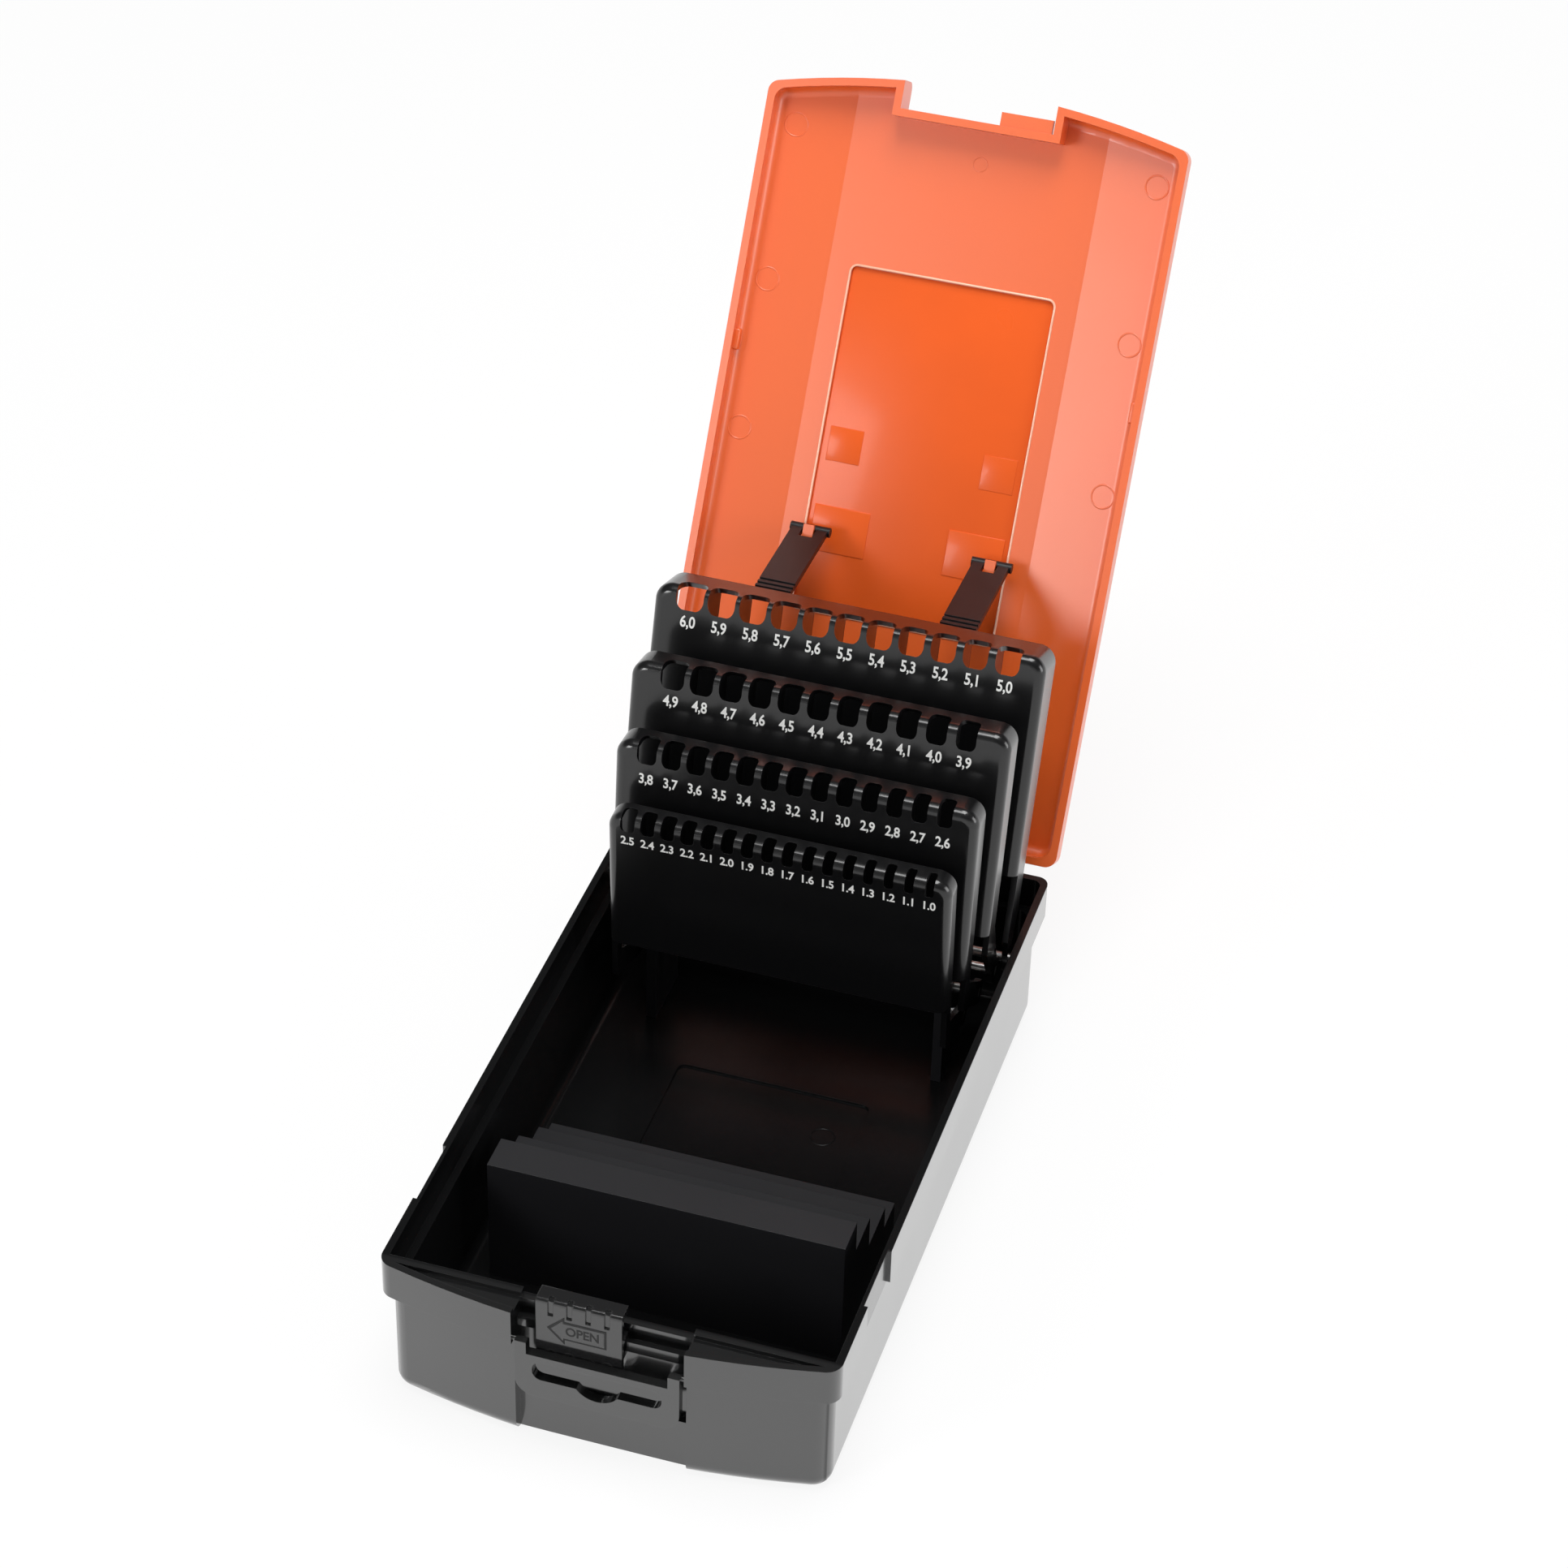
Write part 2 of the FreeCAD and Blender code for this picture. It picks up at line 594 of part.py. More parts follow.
# The hooks for the straps hang from the roof, behind and under each strap's bar.
strap_inner = f"{crease} - strap_crease_gap"
strap_middle = f"{strap_inner} + strap_width / 2"
bar_along = "-hinge_setback - hook_from_rear"
bar_height = "hinge_drop + hook_rise"
bar_clear = "(strap_bar_radius + seat_gap)"
for side in SIDES:
    hook_span = span(side, f"{strap_middle} - hook_width / 2", f"{strap_middle} + hook_width / 2")
    lid_parts.append(block(f"hook_post_{side}", hook_span,
                           (f"{bar_along} + {bar_clear}", f"{bar_along} + {bar_clear} + hook_thickness"),
                           (f"{bar_height} - {bar_clear} - hook_thickness", f"{roof_inside} + lid_wall / 2")))
    lid_parts.append(block(f"hook_finger_{side}", hook_span,
                           (f"{bar_along} - strap_bar_radius", f"{bar_along} + {bar_clear} + hook_thickness"),
                           (f"{bar_height} - {bar_clear} - hook_thickness", f"{bar_height} - {bar_clear}")))
    knuckle = span(side, lid_knuckle_start, f"{lid_knuckle_start} + knuckle_width")
    lid_parts.append(rod(f"lid_barrel_{side}", knuckle, "0", "0", "hinge_barrel_radius"))
    lid_parts.append(block(f"lid_knuckle_{side}", knuckle, ("-hinge_setback - lid_wall / 2", "0"),
                           (rim_from_hinge, "hinge_barrel_radius")))
lid = fuse("lid_joined", *lid_parts)
lid_cuts = [rod(f"lid_pin_hole_{side}", span(side, hinge_inner, hinge_end), "0", "0",
                "hinge_pin_radius + pin_fit") for side in SIDES]
lid = cut("lid", lid, *lid_cuts)
turn_about_x(lid, "-lid_open_angle", hinge_along, hinge_height)
keep("lid", lid)

for side in SIDES:
    keep(f"hinge_pin_{side}", rod(f"hinge_pin_{side}", span(side, hinge_inner, hinge_end),
                                  hinge_along, hinge_height, "hinge_pin_radius"))


def cross_rod(name, across, along, up, radius):
    """A round bar that lies along Y."""
    bar = doc.addObject("Part::Cylinder", name)
    bar.Placement.Rotation = FreeCAD.Rotation(FreeCAD.Vector(1, 0, 0), -90)
    start, end = along
    bind(bar, "Height", f"({end}) - ({start})")
    bind(bar, "Radius", radius)
    bind(bar, "Placement.Base.x", across)
    bind(bar, "Placement.Base.y", start)
    bind(bar, "Placement.Base.z", up)
    return bar


# Latch slider: a front plate and a top lip, with two claws that hold the rail's head.
slider_right = f"{tab_left} - slider_tab_gap"
slider_left = f"{slider_right} - slider_width"
slider_span = (slider_left, slider_right)
slider_bottom = f"{rail_height} - slider_skirt"
slider_back = f"{slider_face} + slider_plate"
tab_top = "rim_height + tab_bottom_rise + tab_thickness"
slider_top = f"{tab_top} + slider_play + slider_top_wall"
plate = block("slider_front", slider_span, (slider_face, slider_back), (slider_bottom, slider_top))
lip = block("slider_lip", slider_span, (slider_face, "lid_notch_face - slider_play"),
            (f"{tab_top} + slider_play", slider_top))
slider = fuse("slider_angle", plate, lip)
slider = soften("slider_edge", slider, size("slider_round"),
                lambda edge: is_across(edge)
                and edge.BoundBox.YMin < size("lid_notch_face") - size("tab_reach") - size("slider_plate")
                and edge.BoundBox.ZMin > size("rim_height"))
head_back = "front_wall_face - rail_neck_depth"
slider_parts = [slider]
for name, sign in (("upper", "+"), ("lower", "-")):
    near_side = f"{rail_height} {sign} (rail_head_height / 2 + slider_play)"
    far_side = f"{rail_height} {sign} (rail_head_height / 2 + slider_play + claw_thickness)"
    lip_side = f"{rail_height} {sign} (rail_neck_height / 2 + slider_play)"
    claw_up = (near_side, far_side) if sign == "+" else (far_side, near_side)
    lip_up = (lip_side, far_side) if sign == "+" else (far_side, lip_side)
    slider_parts.append(block(f"{name}_claw", slider_span, (slider_back, "front_wall_face - slider_play"), claw_up))
    slider_parts.append(block(f"{name}_claw_lip", slider_span,
                              (f"{head_back} + slider_play", "front_wall_face - slider_play"), lip_up))
slider = fuse("slider_joined", *slider_parts)
grooves = []
for n in range(GRIP_GROOVES):
    middle = f"{slider_left} + slider_width / 2 + ({n} - {GRIP_GROOVES - 1} / 2) * grip_groove_pitch"
    groove_span = (f"{middle} - grip_groove_width / 2", f"{middle} + grip_groove_width / 2")
    grooves.append(block(f"grip_front_{n}", groove_span,
                         (f"{slider_face} - slider_plate", f"{slider_face} + grip_groove_depth"),
                         (f"{slider_top} - grip_groove_pitch", f"{slider_top} + slider_plate")))
    grooves.append(block(f"grip_top_{n}", groove_span,
                         (f"{slider_face} - slider_plate", f"{slider_face} + slider_top_wall"),
                         (f"{slider_top} - grip_groove_depth", f"{slider_top} + slider_plate")))
    grooves.append(cross_rod(f"grip_scallop_{n}", middle,
                             (f"{slider_face} - slider_plate", f"{slider_back} + slider_plate"),
                             slider_bottom, "grip_groove_width"))
keep("latch_slider", cut("latch_slider", slider, *grooves))

# Carrying handle: a ring on two pins, hung in the recess in front of the slider.
handle_back = f"{slider_face} - slider_play"
handle_front = f"{handle_back} - handle_thickness"
handle_cross_top = f"{handle_axis_height} - handle_arm_length"
handle_slot_top = f"{handle_cross_top} - handle_cross_height"
handle_slot_bottom = f"{handle_slot_top} - handle_slot_height"
handle_bottom = f"{handle_slot_bottom} - handle_bar_height"
handle_depth = (handle_front, handle_back)
ring = block("handle_ring", (f"-({handle_half_width})", handle_half_width), handle_depth,
             (handle_bottom, handle_cross_top))
doc.recompute()
ring_middle = ring.Placement.Base.z + ring.Height.Value / 2
ring = soften("handle_ring_corners", ring, size("handle_corner_round"),
              lambda edge: is_along(edge) and edge.BoundBox.ZMax < ring_middle)
handle_parts = [ring]
for side in SIDES:
    arm = span(side, f"{handle_half_width} - handle_arm_width", handle_half_width)
    handle_parts.append(block(f"handle_arm_{side}", arm, handle_depth,
                              (f"{handle_cross_top} - handle_cross_height / 2", handle_axis_height)))
    handle_parts.append(block(f"handle_arm_top_{side}", arm, (handle_front, handle_axis_along),
                              (handle_axis_height, f"{handle_axis_height} + handle_axis_inset")))
    handle_parts.append(rod(f"handle_arm_round_{side}", arm, handle_axis_along, handle_axis_height,
                            "handle_axis_inset"))
    handle_parts.append(rod(f"handle_pin_{side}",
                            span(side, f"{handle_half_width} - handle_arm_width",
                                 f"{handle_half_width} + handle_pin_reach"),
                            handle_axis_along, handle_axis_height, "handle_pin_radius"))
handle = fuse("handle_joined", *handle_parts)
handle_slot = block("handle_slot", (f"-({handle_half_width} - handle_slot_inset)",
                                    f"{handle_half_width} - handle_slot_inset"),
                    (f"{handle_front} - cut_overrun", f"{handle_back} + cut_overrun"),
                    (handle_slot_bottom, handle_slot_top))
handle_slot = soften("handle_slot_corners", handle_slot, size("handle_slot_round"), is_along)
handle_bulge = cross_rod("handle_bulge", "0", (f"{handle_front} - cut_overrun", f"{handle_back} + cut_overrun"),
                         f"{handle_slot_bottom} - handle_bulge_drop + handle_bulge_radius", "handle_bulge_radius")
bulge_room = block("handle_bulge_room", ("-handle_bulge_radius", "handle_bulge_radius"),
                   (f"{handle_front} - cut_overrun", f"{handle_back} + cut_overrun"),
                   (f"{handle_slot_bottom} - handle_bulge_drop", handle_slot_top))
handle_bulge_cut = overlap("handle_bulge_cut", handle_bulge, bulge_room)
keep("carry_handle", cut("carry_handle", handle, handle_slot, handle_bulge_cut))

# Axles. Row 1's ends in the tub's walls; the other three are carried by two bearing plates.
axle_ends = {1: f"{lower_half_width} - axle_recess_depth"}
for row in (2, 3, 4):
    axle_ends[row] = row_half_width[row]
for row, end in axle_ends.items():
    keep(f"row_axle_{row}", rod(f"row_axle_{row}", (f"-({end})", end), axle_along[row],
                                axle_height[row], "axle_radius"))
plate_corners = [
    (f"{axle_along[4]} - bearing_margin", "floor_thickness"),
    (f"{axle_along[2]} + bearing_margin", "floor_thickness"),
    (f"{axle_along[2]} + bearing_margin", f"{axle_height[2]} + bearing_margin"),
    (axle_along[3], f"{axle_height[2]} + bearing_margin"),
    (f"{axle_along[4]} - bearing_margin", f"{axle_height[4]} + bearing_margin"),
]
bearing_outer = f"{row_half_width[4]} - row_side_wall - bearing_side_gap"
for side in SIDES:
    start, end = span(side, f"{bearing_outer} - bearing_thickness", bearing_outer)
    bearing = extrude(f"bearing_block_{side}", profile(f"bearing_outline_{side}", plate_corners), start, end)
    holes = [rod(f"bearing_hole_{side}_{row}", (start, end), axle_along[row], axle_height[row],
                 "axle_radius + pin_fit") for row in (2, 3, 4)]
    keep(f"bearing_plate_{side}", cut(f"bearing_plate_{side}", bearing, *holes))


def bit_row(row):
    """One folding row, drawn upright about its axle and then leaned back.

    Its top and front plate hold the windows, a shelf below has a socket for each
    bit, and two side arms run down to the axle.
    """
    tag = f"row_{row}"
    top = f"{tag}_reach"
    back = f"{tag}_back"
    front = f"{tag}_back - {tag}_depth"
    outer = row_half_width[row]
    inner = f"{outer} - row_side_wall"
    plate_end = f"{tag}_reach - {tag}_plate"
    slim = f"{front} + {tag}_taper"
    form_corners = [(front, top), (back, top), (back, plate_end), (slim, plate_end)]
    form = extrude(f"{tag}_form", profile(f"{tag}_form_outline", form_corners), f"-({outer})", outer)
    form = soften(f"{tag}_top_corners", form, size("row_corner_round"),
                  lambda edge: is_along(edge) and edge.BoundBox.ZMin > size(top) - size("wall"))
    front_limit = size(f"{tag}_back") - size(f"{tag}_depth") + size(f"{tag}_taper") + size("wall") / 2
    form = soften(f"{tag}_front_edges", form, size("row_edge_round"),
                  lambda edge: edge.BoundBox.YMax < front_limit
                  and edge.BoundBox.ZMax > size(top) - size(f"{tag}_plate") + size("wall"))
    hollow_corners = [(f"{front} + row_wall", f"{top} - row_wall"), (f"{back} + cut_overrun", f"{top} - row_wall"),
                      (f"{back} + cut_overrun", f"{plate_end} - cut_overrun"),
                      (f"{slim} + row_wall", f"{plate_end} - cut_overrun"), (f"{slim} + row_wall", plate_end)]
    hollow = extrude(f"{tag}_hollow", profile(f"{tag}_hollow_outline", hollow_corners), f"-({inner})", inner)
    parts = [cut(f"{tag}_cover", form, hollow)]
    parts.append(block(f"{tag}_shelf", (f"-({inner})", inner), (f"{slim} + row_wall / 2", back),
                       (plate_end, f"{plate_end} + row_shelf")))
    pitch = f"(2 * ({outer} - {tag}_end_margin) / {BITS[row] - 1})"
    middles = [f"({n} - {BITS[row] - 1} / 2) * {pitch}" for n in range(BITS[row])]
    for n, middle in enumerate(middles[:-1]):
        between = f"{middle} + {pitch} / 2"
        parts.append(block(f"{tag}_rib_{n}", (f"{between} - row_rib / 2", f"{between} + row_rib / 2"),
                           (f"{front} + row_wall", f"{back} - row_wall / 2"),
                           (f"{top} - row_rib_length", f"{top} - row_wall")))
    arm_corners = [
        (back, f"{top} - row_corner_round"),
        (f"{front} + row_edge_round", f"{top} - row_corner_round"),
        (f"{slim} + row_edge_round", plate_end),
        (f"{slim} + row_edge_round", f"{tag}_bend_height - row_arm_width"),
        ("0", "-row_lug_radius"),
        ("0", "row_lug_radius"),
        (back, f"{tag}_bend_height"),
    ]
    for side in SIDES:
        start, end = span(side, inner, outer)
        parts.append(extrude(f"{tag}_arm_{side}", profile(f"{tag}_arm_outline_{side}", arm_corners), start, end))
        parts.append(rod(f"{tag}_lug_{side}", (start, end), "0", "0", "row_lug_radius"))
    body = fuse(f"{tag}_body", *parts)
    tools = []
    punches = []
    for n, middle in enumerate(middles):
        bit = f"({tag}_largest - {n} * bit_thinning)"
        window_share = f"({bit} + window_margin) / ({tag}_largest + window_margin)"
        width = f"({pitch} - {tag}_window_gap) * {window_share}"
        socket_along = f"{slim} + row_wall + row_wall / 4 + {tag}_largest / 2"
        tools.append(post(f"{tag}_socket_{n}", middle, socket_along,
                          (f"{plate_end} + row_socket_floor", f"{plate_end} + row_shelf + row_wall"),
                          f"({bit} + bit_fit) / 2"))
        punch = doc.addObject("Part::Box", f"{tag}_punch_{n}")
        punch.Placement.Rotation = FreeCAD.Rotation(FreeCAD.Vector(1, 0, 0), -size("window_slant"))
        reach = f"{tag}_window / 2 + 2 * row_wall"
        bind(punch, "Length", width)
        bind(punch, "Width", f"{reach} + cut_overrun")
        bind(punch, "Height", f"{tag}_window")
        bind(punch, "Placement.Base.x", f"{middle} - {width} / 2")
        bind(punch, "Placement.Base.y", f"{front} - (cut_overrun + {tag}_window / 2) * cos(window_slant)")
        bind(punch, "Placement.Base.z", f"{top} + (cut_overrun - {tag}_window / 2) * sin(window_slant)")
        punches.append(punch)
    doc.recompute()
    for n, punch in enumerate(punches):
        window = doc.addObject("Part::Fillet", f"{tag}_window_{n}")
        window.Base = punch
        radius = size("window_round_share") * punch.Length.Value
        window.Edges = [(index, radius, radius) for index, edge in enumerate(punch.Shape.Edges, start=1)
                        if near(edge.Length, punch.Width.Value)]
        tools.append(window)
    for side in SIDES:
        tools.append(rod(f"{tag}_axle_hole_{side}", span(side, f"{inner} - row_wall", f"{outer} + row_wall"),
                         "0", "0", "axle_radius + pin_fit"))
    gathered = doc.addObject("Part::Compound", f"{tag}_cuts")
    gathered.Links = tools
    shell = cut(f"{tag}_shell", body, gathered)
    turn_about_x(shell, f"-{tag}_lean", axle_along[row], axle_height[row])
    keep(f"row_shell_{row}", shell)


for row in BITS:
    bit_row(row)

# Straps. Each runs from its bar in the lid's hook to the top rear edge of row 1.
bar_y = f"({hinge_along} + ({bar_along}) * cos(lid_open_angle) + ({bar_height}) * sin(lid_open_angle))"
bar_z = f"({hinge_height} - ({bar_along}) * sin(lid_open_angle) + ({bar_height}) * cos(lid_open_angle))"
end_back = "(row_1_back + strap_end_gap)"
end_up = "(row_1_reach - strap_end_drop)"
end_y = f"({axle_along[1]} + {end_back} * cos(row_1_lean) + {end_up} * sin(row_1_lean))"
end_z = f"({axle_height[1]} - {end_back} * sin(row_1_lean) + {end_up} * cos(row_1_lean))"
strap_length = f"sqrt(pow({bar_y} - {end_y}; 2) + pow({bar_z} - {end_z}; 2))"
strap_tilt = f"atan2({bar_z} - {end_z}; {bar_y} - {end_y})"
for side in SIDES:
    wide = span(side, strap_inner, f"{strap_inner} + strap_width")
    parts = [block(f"strap_sheet_{side}", wide, (f"-{strap_length}", "0"),
                   ("-strap_thickness / 2", "strap_thickness / 2"))]
    parts.append(rod(f"strap_bar_{side}", span(side, f"{strap_inner} - strap_bar_extra",
                                               f"{strap_inner} + strap_width + strap_bar_extra"),
                     "0", "0", "strap_bar_radius"))
    slot = block(f"strap_slot_{side}",
                 span(side, f"{strap_middle} - hook_width / 2 - strap_slot_margin",
                      f"{strap_middle} + hook_width / 2 + strap_slot_margin"),
                 ("-strap_bar_radius - strap_slot_length", "-strap_bar_radius"),
                 ("-strap_thickness", "strap_thickness"))
    bands = [block(f"strap_band_{side}_{n}", wide,
                   (f"-{strap_length} + (2 * {n} + 1) * strap_band", f"-{strap_length} + (2 * {n} + 2) * strap_band"),
                   ("strap_thickness / 2 - strap_band_depth", "strap_thickness"))
             for n in range(STRAP_BANDS)]
    strap = cut(f"strap_{side}", fuse(f"strap_body_{side}", *parts), slot, *bands)
    turn_about_x(strap, strap_tilt, bar_y, bar_z)
    keep(f"strap_{side}", strap)

doc.recompute()
for item in doc.Objects:
    if "Invalid" in item.State or "Error" in item.State:
        raise RuntimeError(f"{item.Name} could not be made: {item.State}")
for name, item in pieces.items():
    if item.Shape.isNull() or not item.Shape.isValid():
        raise RuntimeError(f"{name} has no sound shape")
os.makedirs("parts", exist_ok=True)
for name, item in pieces.items():
    item.Shape.exportStep(os.path.join("parts", name + ".step"))
    box = item.Shape.BoundBox
    print(f"{name}: {len(item.Shape.Solids)} solid, {item.Shape.Volume:.0f} mm3, "
          f"x {box.XMin:.1f} {box.XMax:.1f}, y {box.YMin:.1f} {box.YMax:.1f}, z {box.ZMin:.1f} {box.ZMax:.1f}")
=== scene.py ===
# %% [markdown]
# # A folding drill bit case, dressed for the studio
#
# The case is a shallow black tub with an orange lid on a rear hinge. Four black rows
# stand up behind each other when the lid opens, and each row shows its bits through
# a line of small windows with their sizes printed below.
#
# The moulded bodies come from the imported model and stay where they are. This lesson
# gives them their plastics, and adds what is too fine for the solids: the printed
# sizes, the arrow on the slider, the marks that the mould left in the lid, and the
# small catches. The scene is in metres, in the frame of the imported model. The sizes of
# small things are written in millimetres, and MM turns them into metres.

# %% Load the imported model
import json
import math

import bpy
from mathutils import Matrix, Vector


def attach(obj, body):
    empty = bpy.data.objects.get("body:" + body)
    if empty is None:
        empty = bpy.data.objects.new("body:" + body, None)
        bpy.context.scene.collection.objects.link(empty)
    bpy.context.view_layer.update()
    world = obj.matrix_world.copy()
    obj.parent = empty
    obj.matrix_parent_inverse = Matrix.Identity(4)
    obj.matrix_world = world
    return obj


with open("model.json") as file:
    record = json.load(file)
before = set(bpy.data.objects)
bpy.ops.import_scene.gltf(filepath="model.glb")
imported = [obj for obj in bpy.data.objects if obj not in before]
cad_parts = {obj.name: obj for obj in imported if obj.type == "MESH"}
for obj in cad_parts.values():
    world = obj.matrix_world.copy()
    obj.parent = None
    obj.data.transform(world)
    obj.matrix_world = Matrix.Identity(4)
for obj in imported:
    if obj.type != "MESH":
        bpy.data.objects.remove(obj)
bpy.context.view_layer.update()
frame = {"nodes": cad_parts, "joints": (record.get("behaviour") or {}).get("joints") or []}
nodes = frame["nodes"]
joints = {joint["name"]: joint for joint in frame["joints"]}
MM = 0.001

# %% [markdown]
# ## Camera
#
# The photograph looks down on the case from the front right, through a long lens.
# The camera is set from its own three directions rather than by aiming it, because
# the picture is also turned by a degree and a half, which an aimed camera loses.
# The opening angle follows from half the width of the picture and the distance of the
# lens from it, both in pixels.

# %% Set the camera
AZIMUTH = math.radians(16.584)
ELEVATION = math.radians(37.898)
ROLL = math.radians(1.605)
AIM = Vector((-0.035906, 0.249326, 0.0))
DISTANCE = 1.179697
HALF_FRAME_PIXELS = 966
LENS_PIXELS = 5252.937
FARTHEST = 20

back = Vector((math.sin(AZIMUTH) * math.cos(ELEVATION),
               -math.cos(AZIMUTH) * math.cos(ELEVATION),
               math.sin(ELEVATION)))
level = back.cross(Vector((0, 0, -1))).normalized()
above = back.cross(level).normalized()
right = math.cos(ROLL) * level + math.sin(ROLL) * above
up = math.cos(ROLL) * above - math.sin(ROLL) * level
camera_data = bpy.data.cameras.new("camera")
camera_data.angle = 2 * math.atan(HALF_FRAME_PIXELS / LENS_PIXELS)
camera_data.clip_end = FARTHEST
camera = bpy.data.objects.new("camera", camera_data)
bpy.context.scene.collection.objects.link(camera)
camera.matrix_world = Matrix.Translation(AIM + back * DISTANCE) @ Matrix(
    (right, up, back)).transposed().to_4x4()
bpy.context.scene.camera = camera
print("camera at", [round(c, 4) for c in camera.matrix_world.translation])

# %% [markdown]
# ## Shader nodes in one line
#
# Every finish below is a small tree of shader nodes. By hand, a node is added, its
# numbers are typed in and its sockets are joined with the mouse. The helper does all
# three, so that a tree can be read like a sentence: a value that is another node's
# output becomes a link, and any other value is typed in.


# %% Add a shader node
def node_of(tree, kind, *ordered, **named):
    """Add a node and fill its inputs, the first ones in order and the others by name."""
    node = tree.nodes.new(kind)
    filled = list(zip(node.inputs, ordered))
    filled += [(node.inputs[name.replace("_", " ")], value) for name, value in named.items()]
    for socket, value in filled:
        if isinstance(value, bpy.types.NodeSocket):
            tree.links.new(value, socket)
        else:
            socket.default_value = value
    return node


def reckon(tree, operation, *values):
    """The output of a Math node."""
    node = node_of(tree, "ShaderNodeMath", *values)
    node.operation = operation
    return node.outputs[0]


def ramp(tree, value, low, high, from_level=0.0, to_level=1.0):
    """A value that goes from one level to another while its input goes from low to high."""
    return node_of(tree, "ShaderNodeMapRange", value, low, high, from_level, to_level).outputs[0]


print("node helpers are ready")

# %% [markdown]
# ## A white sky
#
# The photograph is a cut-out on white. The white comes from colours and not from
# strong lamps: rays from the camera, and rays that glossy plastic sends on, see plain
# white, and the rest of the light stays at the level where a colour looks as it is
# written. Above the white surroundings the studio is dark for glossy rays. That is why
# the upright black walls shine pale in the photograph, while the rim and the inside
# of the tub stay black.

# %% Make the white sky
bpy.context.scene.view_settings.view_transform = "Standard"
WHITE = (1, 1, 1, 1)
SKY_LEVEL = 0.45
OVERHEAD_LEVEL = 0.10
# Heights of a ray's direction, from 0 at the horizon to 1 overhead.
FADE_BEGINS, FADE_ENDS = 0.10, 0.38


def sees_white(tree):
    """A factor of one for rays that should find plain white."""
    path = tree.nodes.new("ShaderNodeLightPath")
    direct = reckon(tree, "MAXIMUM", path.outputs["Is Camera Ray"], path.outputs["Is Glossy Ray"])
    return reckon(tree, "MAXIMUM", direct, path.outputs["Is Transmission Ray"])


world = bpy.data.worlds.new("studio")
bpy.context.scene.world = world
world.use_nodes = True
sky = world.node_tree
sky.nodes.clear()
direction = sky.nodes.new("ShaderNodeTexCoord").outputs["Generated"]
height = node_of(sky, "ShaderNodeSeparateXYZ", direction).outputs["Z"]
fade = ramp(sky, height, FADE_BEGINS, FADE_ENDS, 1.0, OVERHEAD_LEVEL)
from_camera = sky.nodes.new("ShaderNodeLightPath").outputs["Is Camera Ray"]
plain = node_of(sky, "ShaderNodeBackground", WHITE, reckon(sky, "MAXIMUM", fade, from_camera))
light = node_of(sky, "ShaderNodeBackground", WHITE, SKY_LEVEL)
whole = node_of(sky, "ShaderNodeMixShader", sees_white(sky), light.outputs[0], plain.outputs[0])
node_of(sky, "ShaderNodeOutputWorld", whole.outputs[0])
print("sky level", SKY_LEVEL)

# %% [markdown]
# ## A floor that keeps the shadow
#
# A studio floor of white paper runs out of sight. Here it is one large plane whose
# material mixes a matt grey, which takes the shadow of the case, with plain white.
# A plain white floor alone would leave the case floating.

# %% Lay the floor
FLOOR_SIZE = 12
FLOOR_COLOUR = (0.85, 0.85, 0.85, 1)
WHITE_SHARE = 0.87

bpy.ops.object.select_all(action="DESELECT")
bpy.ops.mesh.primitive_plane_add(size=FLOOR_SIZE, location=(0, 0, 0))
floor = bpy.context.object
floor.name = "floor"
floor_finish = bpy.data.materials.new("pale_floor")
floor_finish.use_nodes = True
tree = floor_finish.node_tree
tree.nodes.clear()
matt = node_of(tree, "ShaderNodeBsdfDiffuse", FLOOR_COLOUR).outputs[0]
white = node_of(tree, "ShaderNodeEmission", WHITE, 1.0).outputs[0]
shaded_white = node_of(tree, "ShaderNodeMixShader", WHITE_SHARE, matt, white).outputs[0]
paper = node_of(tree, "ShaderNodeMixShader", sees_white(tree), matt, shaded_white).outputs[0]
node_of(tree, "ShaderNodeOutputMaterial", paper)
floor.data.materials.append(floor_finish)
print("the floor is", FLOOR_SIZE, "metres wide")

# %% [markdown]
# ## Lamps
#
# Three softboxes light the case, as in a small studio. The large one hangs overhead and
# makes the soft shadow. The one at the front left stands where the open lid mirrors
# it, which gives the lid its pale sheen. The one at the right brightens the right
# wall. Large lamps were chosen over small ones, because small ones make hard shadows
# and points of light.


# %% Hang the lamps
def softbox(name, place, aim, width, height, power):
    """A rectangular lamp that looks at a point."""
    data = bpy.data.lights.new(name, "AREA")
    data.shape = "RECTANGLE"
    data.size = width
    data.size_y = height
    data.energy = power
    lamp = bpy.data.objects.new(name, data)
    bpy.context.scene.collection.objects.link(lamp)
    lamp.location = place
    lamp.rotation_euler = (Vector(aim) - Vector(place)).to_track_quat("-Z", "Y").to_euler()
    print(name, "shines with", power, "watts")


softbox("left_box", place=(-0.66, -0.84, 0.64), aim=(0, 0.22, 0.12), width=0.36, height=0.36, power=5)
softbox("top_box", place=(0.05, 0.10, 1.5), aim=(0, 0.12, 0.0), width=0.9, height=0.6, power=15)
softbox("right_box", place=(1.3, 0.1, 0.55), aim=(0, 0.12, 0.05), width=0.6, height=0.7, power=6)

# %% [markdown]
# ## Moulded plastics
#
# A moulded part copies the surface of its mould: spark-eroded steel leaves a fine
# even grain, and polished steel leaves a gloss. Both are one shader here, with a
# noise for the grain, a slower noise that varies gloss and colour as handling does,
# and a bevel that rounds the crisp edges of the solids by a fraction of a millimetre.
# A texture made of nodes was chosen over pictures, because it has no seams and
# stays sharp from any distance.

# %% Write the plastic
HANDLING_SCALE = 28.0
GLOSS_CHANGE = 0.06
DARKER = 0.8
BEVEL_SAMPLES = 4


